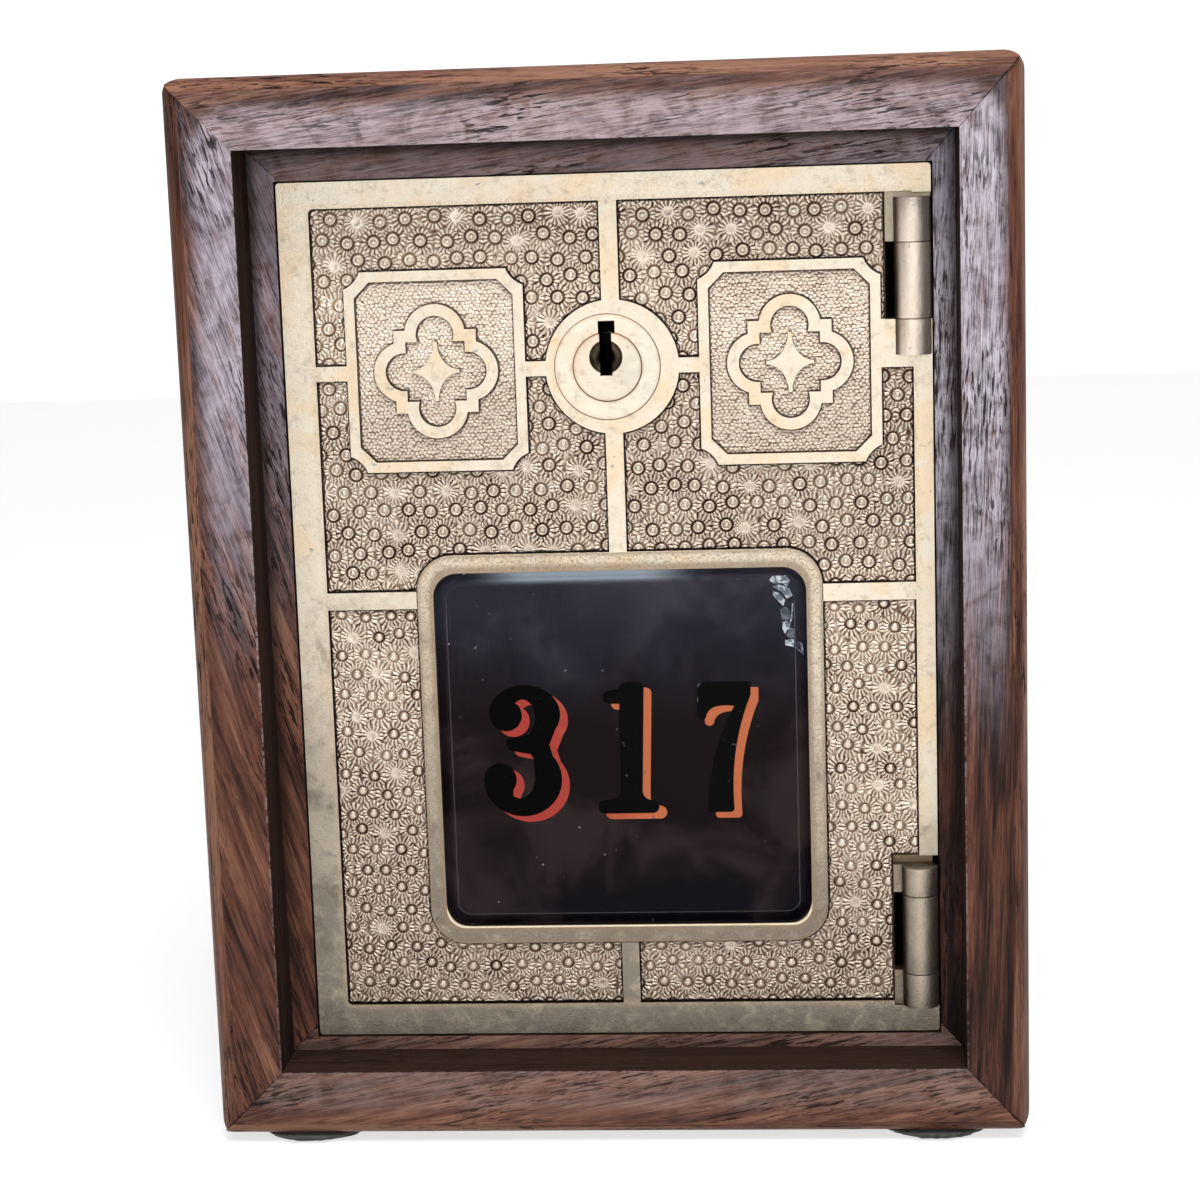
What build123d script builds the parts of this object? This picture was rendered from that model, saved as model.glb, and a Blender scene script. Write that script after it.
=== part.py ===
from build123d import *
import os
from math import cos, radians, sin

# Post office box door of cast brass, mounted as the front of a walnut coin bank.
#
# Part frame: millimetres, +Z up, the door faces -Y. The origin is on the surface
# that the feet stand on, under the middle of the case.
# Door frame: the door and all it carries are drawn about the middle of the door's
# front face, with X to the right, Y into the case and Z up. on_door() places them.

# ---------------------------------------------------------------- door casting
DOOR_W = 95.25
DOOR_H = 130.2
DOOR_T = 3.4
DOOR_CORNER_R = 0.5
MARGIN_LEFT = 4.6
MARGIN_RIGHT = 2.75
MARGIN_TOP = 3.9
MARGIN_BOTTOM = 4.75
FIELD_DEPTH = 1.1  # from the ribs' faces to the ground of the patterned fields
FIELD_R = 0.7  # at the fields' corners away from the hinges
RIB_W = 2.6
LOCK_RIB_W = 2.2
MID_RIB_ABOVE_WINDOW = 6.7  # from the window frame's outer top edge down to the rib's middle

# cartouches on both sides of the lock
CARTOUCHE_W = 26.5
CARTOUCHE_H = 29.65
CARTOUCHE_BORDER = 1.5
CARTOUCHE_DX = 26.05
CARTOUCHE_SCOOP_R = 4.1  # hollow cut into each corner
CARTOUCHE_SCOOP_OUT = 1.4  # its middle, out from the corner in X and Z
CARTOUCHE_CHAMFER = 2.3
CARTOUCHE_DEPTH = 0.8
ORNAMENT_R = 4.5  # lobes of the raised quatrefoil
ORNAMENT_REACH = 4.7
ORNAMENT_STRETCH = 0.7
ORNAMENT_BAND = 1.7
BARB_SQUARE = 12.2
STAR_X = 3.5
STAR_Z = 4.4
STAR_TIP = 0.5

# window
WINDOW_W = 55.7
WINDOW_DROP = 58.35  # from the door's top edge to the opening
WINDOW_R = 3.6
WINDOW_FRAME_SIDE = 2.45
WINDOW_FRAME_END = 2.75
WINDOW_FRAME_R = 5.4
WINDOW_RISE = 17.15  # from the door's bottom edge to the opening
WINDOW_SHIFT = -0.1
WINDOW_LIP = 1.2
GLASS_COVER = 1.65  # how far the glass reaches behind the lip
GLASS_EDGE_T = 3.0
GLASS_BEVEL = 1.7
GLASS_BEVEL_H = 0.9
GLASS_GAP = 0.1
SEAT_WALL = 4.0
RETAINER_T = 1.0
RETAINER_COVER = 3.0

RETAINER_SCREW = (0.9, 1.7, 1.0)  # shank radius, head radius, head height

# ---------------------------------------------------------------- hinges
KNUCKLE_R = 2.7
PIN_R = 1.2
PIN_GAP = 0.05
KNUCKLE_GAP = 0.15
NOTCH_SIDE = 1.35  # free space on the inner side of the frame's knuckle
LUG_INSET = 0.7
UPPER_HINGE = (4.75, 11.17, 22.18, 27.4)  # knuckle ends, down from the door's top edge
LOWER_HINGE = (25.8, 21.45, 9.33, 4.0)  # knuckle ends, up from the door's bottom edge
UPPER_POCKET = 0.65
LOWER_POCKET = 1.7
POCKET_DEPTH = 2.5

# ---------------------------------------------------------------- frame behind the door
FRAME_GAP = 0.2
FLANGE_W = 7.0
FLANGE_T = 2.0
FRAME_WALL = 2.4
FRAME_D = 12.4
THROAT_R = 2.0
FRAME_SCREW_Z = 22.0
FRAME_SCREW = (1.4, 2.6, 1.5)
FRAME_SCREW_L = 11.0

# ---------------------------------------------------------------- screws in the door's back
SCREW_SKIN = 0.9  # metal left between a blind hole and the fields' ground
SCREW_SHORT = 0.3  # from a screw's end to its hole's bottom
HEAD_EDGE = 0.35  # chamfer of a screw head's edge, as a share of the head's height
SLOT_DEPTH = 0.4
SLOT_WIDTH = 0.28  # as a share of the head's radius

# ---------------------------------------------------------------- lock
LOCK_DROP = 28.1  # from the door's top edge to the lock's axis
LOCK_SHIFT = -0.7  # the nose sits a little left of the boss's middle
BOSS_R = 9.83
NOSE_R = 7.8
NOSE_GAP = 0.05
PLUG_R = 5.05
PLUG_GAP = 0.05
COLLAR_R = 6.0
COLLAR_T = 0.8
KEY_SLOT_END = 1.5  # from the key slot's end to the lock's back
CORE_R = 2.6
TAIL_R = 2.0
KEY_SLOT_W = 1.78
KEY_SLOT_BELOW = 1.28
KEY_SLOT_SHIFT = -0.2
NOTCH_W = 2.45
NOTCH_TOP = 6.75
DIMPLE_R = 2.5
DIMPLE_DEPTH = 1.3
DIMPLE_UP = 1.45
CRANK_R = 4.2
CRANK_PIN_R = 0.9
CRANK_SWING = 90.0
CRANK_PLAY = 0.2
LOCK_LEFT = 20.0
LOCK_RIGHT = 18.0
LOCK_ABOVE = 18.0
LOCK_BELOW = 13.5
LOCK_WALL = 1.8
LOCK_PLATE = 2.2
LOCK_DEPTH = 10.6
COVER_T = 1.2
POST_R = 2.2
COVER_SCREW = (0.9, 1.7, 0.7)
COVER_SCREW_L = 6.2
EAR_R = 3.0
EAR_T = 1.4
EAR_OUT = 3.0
EAR_SCREW = (1.2, 2.3, 1.3)
EAR_UP = 12.5
EAR_DOWN = 7.0

BOLT_T = 2.2
BOLT_GAP = 0.2
BOLT_PLAY = 0.15  # around the bar where it is guided
BOLT_CHAMFER = 0.44
BOLT_BAR_H = 6.0
BOLT_DRAWN = 2.6  # from the flange's inner edge to the drawn bolt's tip
BOLT_TAIL = 13.0
BOLT_HEEL = 9.0
BOLT_ABOVE = 4.4
BOLT_BELOW = 7.6
STUMP_X = 9.0
STUMP_Z = 8.2
STUMP_R = 1.0
STUMP_LUG = 2.0
FORK_Z = -5.0
FORK_INSET = 2.5
FORK_POST_R = 1.2
GUIDE_L = 6.0
GUIDE_WALL = 4.0
GUIDE_INSET = 3.0
GUIDE_CAP = 1.3
GUIDE_R = 1.0
GUIDE_SCREW = (1.0, 1.8, 1.0)

LEVER_T = 1.0
LEVER_GAP = 0.4  # between bolt and first lever
LEVER_SPACING = 1.15
LEVER_LIFTS = (7.0, 6.2, 7.6, 5.6)  # degrees at the end of the key's turn
LEVER_PIVOT = (-13.0, 8.5)
LEVER_POST_R = 1.5
POST_SHOULDER = 0.8
LEVER_HUB_R = 3.2
LEVER_END = 11.2
LEVER_TOP = 11.7
LEVER_BOTTOM = 3.2
LEVER_BELLY_R = 4.6
LEVER_NECK = 5.0
LEVER_CORNER_R = 2.0
GATE_PLAY = 0.35
GATE_STEPS = 4
LEVER_STOP_R = 1.2
LEVER_STOP_X = 10.0
LEVER_STOP_GAP = 0.1
SPRING_T = 0.35
SPRING_W = 0.8
SPRING_ROOT = (1.5, -1.5)  # from the lever's pivot in X and from its back in Z
SPRING_BEND = (5.5, 1.6)
SPRING_REACH = 14.0
SPRING_GAP = 0.1

# ---------------------------------------------------------------- walnut case
DOOR_PLAY = 0.25  # around the door in its pocket
DOOR_RIGHT = 0.3  # the pocket's middle, from the middle of the rim's opening
DOOR_DOWN = 1.3
LEDGE_SIDE = 3.525
LEDGE_END = 3.35
RIM_LEFT = 10.3
RIM_RIGHT = 9.4
RIM_END = 10.4
STEP_D = 10.7  # from the case's front to the door's face
LEDGE_AHEAD = 0.4
CASE_D = 114.0
BOARD_T = 15.9
ROUNDOVER_SIDE = 4.4  # along each board's outer front edge
ROUNDOVER_END = 3.4
CORNER_R = 1.5
REAR_EDGE_R = 1.2
BACK_T = 6.0
BACK_INSET = 0.3
BACK_REBATE = 6.0
BACK_PLAY = 0.1
BACK_SCREW = (1.5, 2.9, 1.4)
BACK_SCREW_L = 16.0
BACK_SCREW_INSET = 8.0
BACK_SCREW_EDGE = 3.4  # from the rebate's wall
BACK_HEAD_SINK = 1.2
COIN_SLOT_L = 38.0
COIN_SLOT_W = 5.0
COIN_SLOT_BACK = 10.0
COIN_SLOT_EASE = 0.8
FOOT_R = 7.2
FOOT_T = 1.2
FOOT_EDGE = 0.5
FOOT_INSET_X = 14.0
FOOT_INSET_Y = 9.6

# ---------------------------------------------------------------- worked out
RIM_HALF_W = DOOR_W / 2 + DOOR_PLAY + LEDGE_SIDE  # the opening inside the rim
RIM_HALF_H = DOOR_H / 2 + DOOR_PLAY + LEDGE_END
CASE_W = RIM_LEFT + 2 * RIM_HALF_W + RIM_RIGHT
CASE_H = 2 * (RIM_HALF_H + RIM_END)
CASE_Z = FOOT_T + CASE_H / 2
FACE_Y = -CASE_D / 2 + STEP_D
RIM_X = (RIM_LEFT - RIM_RIGHT) / 2  # its middle
DOOR_AT = (RIM_X + DOOR_RIGHT, FACE_Y, CASE_Z - DOOR_DOWN)

WINDOW_H = DOOR_H - WINDOW_DROP - WINDOW_RISE

DESIGN_X = (MARGIN_LEFT - MARGIN_RIGHT) / 2  # middle of the relief
LOCK_X = DESIGN_X + LOCK_SHIFT
LOCK_Z = DOOR_H / 2 - LOCK_DROP
WINDOW_X = DESIGN_X + WINDOW_SHIFT
WINDOW_Z = -DOOR_H / 2 + WINDOW_RISE + WINDOW_H / 2
MID_RIB_Z = WINDOW_Z + WINDOW_H / 2 + WINDOW_FRAME_END - MID_RIB_ABOVE_WINDOW
GLASS_R = WINDOW_R + GLASS_COVER
GLASS_BACK = WINDOW_LIP + GLASS_GAP / 2 + GLASS_EDGE_T

PIN_X = DOOR_W / 2 - KNUCKLE_R
PIN_Y = DOOR_T - KNUCKLE_R
NOTCH_X = PIN_X - KNUCKLE_R - NOTCH_SIDE
FRAME_FRONT = DOOR_T + FRAME_GAP
FRAME_BACK = FRAME_FRONT + FRAME_D

PLATE_BACK = DOOR_T + LOCK_PLATE
BOLT_FRONT = max(PLATE_BACK, FRAME_FRONT + FLANGE_T) + BOLT_GAP
BOLT_BACK = BOLT_FRONT + BOLT_T
LOCK_BACK = DOOR_T + LOCK_DEPTH
BOLT_THROW = 2 * CRANK_R * sin(radians(CRANK_SWING / 2))
CRANK_X = CRANK_R * sin(radians(CRANK_SWING / 2))
CRANK_Z = -CRANK_R * cos(radians(CRANK_SWING / 2))
BOLT_TIP = -DOOR_W / 2 + FLANGE_W + BOLT_DRAWN - LOCK_X  # from the lock's axis
LEVER_FRONT = BOLT_BACK + LEVER_GAP
BLIND_FRONT = FIELD_DEPTH + SCREW_SKIN


def on_door(shape):
    """Moves a piece from the door frame to its place in the part."""
    return Pos(*DOOR_AT) * shape


def on_lock(shape):
    """Moves a piece drawn about the lock's axis to its place in the door frame."""
    return Pos(LOCK_X, 0, LOCK_Z) * shape


def slab(sketch, front, back):
    """A sketch in X and Z as a solid from depth front to depth back."""
    return Pos(0, front, 0) * extrude(Plane.XZ * sketch, amount=front - back)


def rod(radius, front, back, x=0.0, z=0.0):
    """A round rod along Y."""
    return slab(Pos(x, z) * Circle(radius), front, back)


def span(x0, x1, z0, z1):
    """A rectangle in X and Z between two corners."""
    return Pos((x0 + x1) / 2, (z0 + z1) / 2) * Rectangle(abs(x1 - x0), abs(z1 - z0))


def upright(radius, x, y, z0, z1):
    """A round rod along Z."""
    return Pos(x, y, (z0 + z1) / 2) * Cylinder(radius, abs(z1 - z0))


def both_ends():
    """The four corners as pairs of signs."""
    return [(sx, sz) for sx in (-1, 1) for sz in (-1, 1)]


def pan_screw(size, length):
    """A pan head screw along -Y, its head's underside at Y = 0."""
    radius, head_r, head_h = size
    head = Pos(0, head_h / 2, 0) * Rot(90, 0, 0) * Cylinder(head_r, head_h)
    head = chamfer(head.edges().sort_by(Axis.Y)[-1], head_h * HEAD_EDGE)
    slot = Pos(0, head_h, 0) * Box(3 * head_r, 2 * head_h * SLOT_DEPTH, head_r * SLOT_WIDTH)
    shank = Pos(0, -length / 2, 0) * Rot(90, 0, 0) * Cylinder(radius, length)
    return head - slot + shank


# ================================================================ relief of the door
def cartouche_outline():
    """Outer outline of a cartouche, with hollow corners."""
    outline = Rectangle(CARTOUCHE_W, CARTOUCHE_H)
    x, z = CARTOUCHE_W / 2 + CARTOUCHE_SCOOP_OUT, CARTOUCHE_H / 2 + CARTOUCHE_SCOOP_OUT
    for sx, sz in both_ends():
        outline -= Pos(sx * x, sz * z) * Circle(CARTOUCHE_SCOOP_R)
    return outline


def cartouche_ground():
    """The sunk ground inside a cartouche's border, with cut corners."""
    ground = Rectangle(CARTOUCHE_W - 2 * CARTOUCHE_BORDER, CARTOUCHE_H - 2 * CARTOUCHE_BORDER)
    return chamfer(ground.vertices(), CARTOUCHE_CHAMFER)


def quatrefoil(inset):
    """Four lobes round a square whose corners stand out between them as barbs."""
    side = BARB_SQUARE - 2 * inset
    foil = Rectangle(side, side)
    for x, z in ((1, 0), (-1, 0), (0, 1), (0, -1)):
        lobe = Circle(ORNAMENT_R - inset)
        foil += Pos(x * ORNAMENT_REACH, z * (ORNAMENT_REACH + ORNAMENT_STRETCH)) * lobe
    return foil


def star():
    """A four-pointed star with hollow sides and blunt tips."""
    figure = Rectangle(2 * STAR_X, 2 * STAR_Z)
    for sx, sz in both_ends():
        hollow = Ellipse(STAR_X - STAR_TIP / 2, STAR_Z - STAR_TIP / 2)
        figure -= Pos(sx * STAR_X, sz * STAR_Z) * hollow
    return figure


def window_outline(grow_side=0.0, grow_end=0.0, radius=WINDOW_R):
    outline = RectangleRounded(WINDOW_W + 2 * grow_side, WINDOW_H + 2 * grow_end, radius)
    return Pos(WINDOW_X, WINDOW_Z) * outline


def hinge_heights():
    """Each hinge's four knuckle ends as heights in the door frame, from the top down."""
    upper = [DOOR_H / 2 - drop for drop in UPPER_HINGE]
    lower = [-DOOR_H / 2 + rise for rise in LOWER_HINGE]
    return upper, lower


def raised_pattern():
    """Everything that stands at the height of the margins inside them."""
    left, right = -DOOR_W / 2, DOOR_W / 2
    raised = Pos(DESIGN_X, LOCK_Z) * Circle(BOSS_R)
    raised += span(DESIGN_X - RIB_W / 2, DESIGN_X + RIB_W / 2, -DOOR_H / 2, DOOR_H / 2)
    raised += span(left, right, LOCK_Z - LOCK_RIB_W / 2, LOCK_Z + LOCK_RIB_W / 2)
    raised += span(left, right, MID_RIB_Z - RIB_W / 2, MID_RIB_Z + RIB_W / 2)
    raised += window_outline(WINDOW_FRAME_SIDE, WINDOW_FRAME_END, WINDOW_FRAME_R)
    for side in (-1, 1):
        raised += Pos(DESIGN_X + side * CARTOUCHE_DX, LOCK_Z) * cartouche_outline()
    # solid ground beside the upper hinge's last knuckle
    upper = hinge_heights()[0]
    beside = DESIGN_X + CARTOUCHE_DX + CARTOUCHE_W / 2 - CARTOUCHE_BORDER
    raised += span(beside, right, upper[2], LOCK_Z)
    return raised


def sunk_fields():
    """The patterned grounds between margins and ribs, out to the hinges' barrels."""
    top, bottom = DOOR_H / 2 - MARGIN_TOP, -DOOR_H / 2 + MARGIN_BOTTOM
    left, right = -DOOR_W / 2 + MARGIN_LEFT, DOOR_W / 2 - MARGIN_RIGHT
    upper, lower = hinge_heights()
    fields = span(left, right, bottom, top)
    fields = fillet(fields.vertices().sort_by(Axis.X)[:2], FIELD_R)
    fields += span(NOTCH_X, DOOR_W / 2, upper[2], upper[0] + UPPER_POCKET)
    fields += span(NOTCH_X, DOOR_W / 2, lower[3], lower[0] + LOWER_POCKET)
    return fields - raised_pattern()


# ================================================================ door and its glass
def glass_seat():
    """The raised wall on the door's back that the glass drops into."""
    wall = window_outline(GLASS_COVER + SEAT_WALL, GLASS_COVER + SEAT_WALL, GLASS_R)
    return slab(wall, DOOR_T, GLASS_BACK + GLASS_GAP / 2)


def retainer_screw_places():
    reach = GLASS_COVER + SEAT_WALL / 2
    return [
        (WINDOW_X + sx * (WINDOW_W / 2 + reach), WINDOW_Z + sz * WINDOW_H * 0.4)
        for sx, sz in both_ends()
    ]


def ear_places():
    """The lock case's four screw ears, about the lock's axis."""
    left, right = -LOCK_LEFT - EAR_OUT, LOCK_RIGHT + EAR_OUT
    return [(left, EAR_UP), (right, EAR_UP), (left, -EAR_DOWN), (right, -EAR_DOWN)]


def guide_place():
    """Middle of the bolt guide, from the lock's axis."""
    return BOLT_TIP + GUIDE_INSET + GUIDE_L / 2


def guide_screw_places():
    reach = BOLT_BAR_H / 2 + GUIDE_WALL / 2
    return [(guide_place(), -reach), (guide_place(), reach)]


def make_door():
    door = slab(RectangleRounded(DOOR_W, DOOR_H, DOOR_CORNER_R), 0, DOOR_T)
    door -= slab(sunk_fields(), -1, FIELD_DEPTH)
    for side in (-1, 1):
        place = Pos(DESIGN_X + side * CARTOUCHE_DX, LOCK_Z)
        door -= slab(place * cartouche_ground(), -1, CARTOUCHE_DEPTH)
        for figure in (quatrefoil(0) - quatrefoil(ORNAMENT_BAND), star()):
            door += slab(place * figure, 0, CARTOUCHE_DEPTH)

    # back of the door: seat for the glass, bosses for the lock's screws
    door += glass_seat()
    for x, z in ear_places():
        door += on_lock(rod(EAR_R, DOOR_T, PLATE_BACK, x, z))

    # the hinge edge's back is rounded about the pin, so that it clears the frame
    corner = Pos(PIN_X + DOOR_T, PIN_Y + DOOR_T, 0) * Box(2 * DOOR_T, 2 * DOOR_T, DOOR_H + 2)
    door -= corner - Pos(PIN_X, PIN_Y, 0) * Cylinder(KNUCKLE_R, 2 * DOOR_H)

    # hinges: pocket over the barrel, notch for the frame's knuckle, two knuckles
    upper, lower = hinge_heights()
    pocket = span(NOTCH_X, DOOR_W / 2 + 1, lower[0], lower[0] + LOWER_POCKET)
    door -= slab(pocket, -1, POCKET_DEPTH)
    for ends in (upper, lower):
        z1, z0 = ends[1] + KNUCKLE_GAP / 2, ends[2] - KNUCKLE_GAP / 2
        door -= slab(span(NOTCH_X, DOOR_W / 2 + 1, z0, z1), -1, DOOR_T + 1)
        door += upright(KNUCKLE_R, PIN_X, PIN_Y, z1, ends[0])
        door += upright(KNUCKLE_R, PIN_X, PIN_Y, ends[3], z0)
        door -= upright(PIN_R, PIN_X, PIN_Y, ends[3], ends[0])

    # window: lip in front, pocket for the glass behind it
    door -= slab(window_outline(), -1, DOOR_T)
    pocket = window_outline(GLASS_COVER + GLASS_GAP, GLASS_COVER + GLASS_GAP, GLASS_R)
    door -= slab(pocket, WINDOW_LIP, GLASS_BACK + 1)

    # holes for the lock's nose and all screws
    door -= on_lock(rod(NOSE_R + NOSE_GAP, -1, DOOR_T + 1))
    for x, z in ear_places():
        door -= on_lock(rod(EAR_SCREW[0], BLIND_FRONT, PLATE_BACK + 1, x, z))
    for x, z in guide_screw_places():
        door -= on_lock(rod(GUIDE_SCREW[0], BLIND_FRONT, DOOR_T + 1, x, z))
    for x, z in retainer_screw_places():
        door -= rod(RETAINER_SCREW[0], BLIND_FRONT, GLASS_BACK + 1, x, z)
    return door


def make_hinge_pins():
    return [upright(PIN_R, PIN_X, PIN_Y, ends[3], ends[0]) for ends in hinge_heights()]


def make_glass():
    """Plate glass with a polished bevel, its middle standing in the window's opening."""
    front = WINDOW_LIP + GLASS_GAP / 2
    edge = slab(window_outline(GLASS_COVER, GLASS_COVER, GLASS_R), front, GLASS_BACK)
    wide = Plane.XZ * window_outline(-GLASS_GAP, -GLASS_GAP, WINDOW_R)
    inside = GLASS_GAP + GLASS_BEVEL
    narrow = Plane.XZ * window_outline(-inside, -inside, WINDOW_R - GLASS_BEVEL)
    bevel = loft([Pos(0, front, 0) * wide, Pos(0, front - GLASS_BEVEL_H, 0) * narrow])
    return edge + bevel


def make_retainer():
    outer = GLASS_COVER + SEAT_WALL - GLASS_GAP
    ring = window_outline(outer, outer, GLASS_R)
    inner = GLASS_COVER - RETAINER_COVER
    ring -= window_outline(inner, inner, WINDOW_R)
    front = GLASS_BACK + GLASS_GAP / 2
    ring = slab(ring, front, front + RETAINER_T)
    for x, z in retainer_screw_places():
        ring -= rod(RETAINER_SCREW[0], front - 1, front + RETAINER_T + 1, x, z)
    return ring


def make_retainer_screws():
    back = GLASS_BACK + GLASS_GAP / 2 + RETAINER_T
    screw = pan_screw(RETAINER_SCREW, back - BLIND_FRONT - SCREW_SHORT)
    return [Pos(x, back, z) * screw for x, z in retainer_screw_places()]


# ================================================================ frame behind the door
def frame_screw_places():
    return [(side, side_z * FRAME_SCREW_Z) for side, side_z in both_ends()]


def make_door_frame():
    outer = RectangleRounded(DOOR_W, DOOR_H, DOOR_CORNER_R)
    hollow = Rectangle(DOOR_W - 2 * FRAME_WALL, DOOR_H - 2 * FRAME_WALL)
    throat = RectangleRounded(DOOR_W - 2 * FLANGE_W, DOOR_H - 2 * FLANGE_W, THROAT_R)
    frame = slab(outer, FRAME_FRONT, FRAME_BACK)
    frame -= slab(hollow, FRAME_FRONT + FLANGE_T, FRAME_BACK + 1)
    frame -= slab(throat, FRAME_FRONT - 1, FRAME_FRONT + FLANGE_T + 1)
    for ends in hinge_heights():
        z1, z0 = ends[1] - KNUCKLE_GAP / 2, ends[2] + KNUCKLE_GAP / 2
        web = span(PIN_X - KNUCKLE_R + LUG_INSET, DOOR_W / 2, z0, z1)
        frame += slab(web, PIN_Y, FRAME_FRONT + FLANGE_T)
        frame += upright(KNUCKLE_R, PIN_X, PIN_Y, z0, z1)
        frame -= upright(PIN_R + PIN_GAP, PIN_X, PIN_Y, z0 - 1, z1 + 1)
    depth = (FRAME_FRONT + FLANGE_T + FRAME_BACK) / 2
    for side, z in frame_screw_places():
        hole = Pos(side * DOOR_W / 2, depth, z) * Rot(0, 90, 0)
        frame -= hole * Cylinder(FRAME_SCREW[0], 3 * FRAME_WALL)
    return frame


def frame_screws(radius_only=False):
    """Wood screws through the frame's side walls, or the holes that they cut."""
    depth = (FRAME_FRONT + FLANGE_T + FRAME_BACK) / 2
    screws = []
    for side, z in frame_screw_places():
        place = Pos(side * (DOOR_W / 2 - FRAME_WALL), depth, z) * Rot(0, 0, 90 * side)
        if radius_only:
            shank = Rot(90, 0, 0) * Cylinder(FRAME_SCREW[0], 2 * FRAME_SCREW_L)
            screws.append(place * shank)
        else:
            screws.append(place * pan_screw(FRAME_SCREW, FRAME_SCREW_L))
    return screws


# ================================================================ lock
def lock_outline(grow=0.0):
    return span(-LOCK_LEFT - grow, LOCK_RIGHT + grow, -LOCK_BELOW - grow, LOCK_ABOVE + grow)


def post_places():
    reach = POST_R
    left, right = -LOCK_LEFT + reach, LOCK_RIGHT - reach
    return [(x, z) for x in (left, right) for z in (-LOCK_BELOW + reach, LOCK_ABOVE - reach)]


def fork_post_x():
    return BOLT_TAIL - FORK_INSET


def bolt_way(x0, x1):
    """The bolt bar's way through a wall between x0 and x1."""
    half = BOLT_BAR_H / 2 + BOLT_PLAY
    return slab(span(x0, x1, -half, half), BOLT_FRONT - BOLT_PLAY, BOLT_BACK + BOLT_PLAY)


def make_lock_case():
    case = slab(lock_outline(), DOOR_T, LOCK_BACK)
    case -= slab(lock_outline(-LOCK_WALL), PLATE_BACK, LOCK_BACK + 1)
    for x, z in post_places():
        case += rod(POST_R, DOOR_T, LOCK_BACK, x, z)
        case -= rod(COVER_SCREW[0], PLATE_BACK, LOCK_BACK + 1, x, z)
    for x, z in ear_places():
        root = -LOCK_LEFT if x < 0 else LOCK_RIGHT
        ear = Pos(x, z) * Circle(EAR_R) + span(root, x, z - EAR_R, z + EAR_R)
        case += slab(ear, PLATE_BACK, PLATE_BACK + EAR_T)
        case -= rod(EAR_SCREW[0], PLATE_BACK - 1, PLATE_BACK + EAR_T + 1, x, z)
    # nose through the door's boss, bore for the plug, notch for the key's bit
    case += rod(NOSE_R, 0, DOOR_T)
    case -= rod(PLUG_R + PLUG_GAP, -1, PLATE_BACK)
    case -= rod(COLLAR_R + PLUG_GAP, PLATE_BACK - COLLAR_T - 2 * PLUG_GAP, PLATE_BACK)
    notch = span(-NOTCH_W / 2, NOTCH_W / 2, 0, NOTCH_TOP)
    case -= slab(notch, -1, PLATE_BACK)
    # way out for the bolt, posts for its fork and for the levers
    case -= bolt_way(-LOCK_LEFT - 1, -LOCK_LEFT + LOCK_WALL + 1)
    case += rod(FORK_POST_R, DOOR_T, BOLT_BACK, fork_post_x(), FORK_Z)
    return on_lock(case)


def make_lever_post():
    post = rod(LEVER_POST_R, PLATE_BACK, LOCK_BACK, *LEVER_PIVOT)
    post += rod(LEVER_POST_R + POST_SHOULDER, PLATE_BACK, LEVER_FRONT - BOLT_GAP, *LEVER_PIVOT)
    return on_lock(post)


def make_lock_cover():
    cover = slab(lock_outline(), LOCK_BACK, LOCK_BACK + COVER_T)
    cover -= rod(TAIL_R + PLUG_GAP, LOCK_BACK - 1, LOCK_BACK + COVER_T + 1)
    for x, z in post_places():
        cover -= rod(COVER_SCREW[0], LOCK_BACK - 1, LOCK_BACK + COVER_T + 1, x, z)
    # stop that the levers rest on
    stop_z = LEVER_BOTTOM - LEVER_STOP_R - LEVER_STOP_GAP
    cover += rod(LEVER_STOP_R, LEVER_FRONT, LOCK_BACK, LEVER_STOP_X, stop_z)
    return on_lock(cover)


def make_cover_screws():
    back = LOCK_BACK + COVER_T
    screw = pan_screw(COVER_SCREW, COVER_SCREW_L)
    return [on_lock(Pos(x, back, z) * screw) for x, z in post_places()]


def make_lock_screws():
    back = PLATE_BACK + EAR_T
    screw = pan_screw(EAR_SCREW, back - BLIND_FRONT - SCREW_SHORT)
    return [on_lock(Pos(x, back, z) * screw) for x, z in ear_places()]


def make_key_plug():
    collar_front = PLATE_BACK - COLLAR_T - PLUG_GAP
    collar_back = collar_front + COLLAR_T
    core_back = LOCK_BACK - 2 * PLUG_GAP
    plug = rod(PLUG_R, PLUG_GAP, collar_front) + rod(COLLAR_R, collar_front, collar_back)
    plug += rod(CORE_R, collar_back, core_back)
    plug += rod(TAIL_R, core_back, LOCK_BACK + COVER_T)
    plug += rod(CRANK_PIN_R, collar_back, BOLT_BACK, CRANK_X, CRANK_Z)
    slot = span(-KEY_SLOT_W / 2, KEY_SLOT_W / 2, -KEY_SLOT_BELOW, COLLAR_R + 1)
    plug -= slab(Pos(KEY_SLOT_SHIFT, 0) * slot, -1, LOCK_BACK - KEY_SLOT_END)
    # round dimple that leads the key in
    ball_r = (DIMPLE_R**2 + DIMPLE_DEPTH**2) / (2 * DIMPLE_DEPTH)
    plug -= Pos(KEY_SLOT_SHIFT, DIMPLE_DEPTH - ball_r, DIMPLE_UP) * Sphere(ball_r)
    return on_lock(plug)


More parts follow.
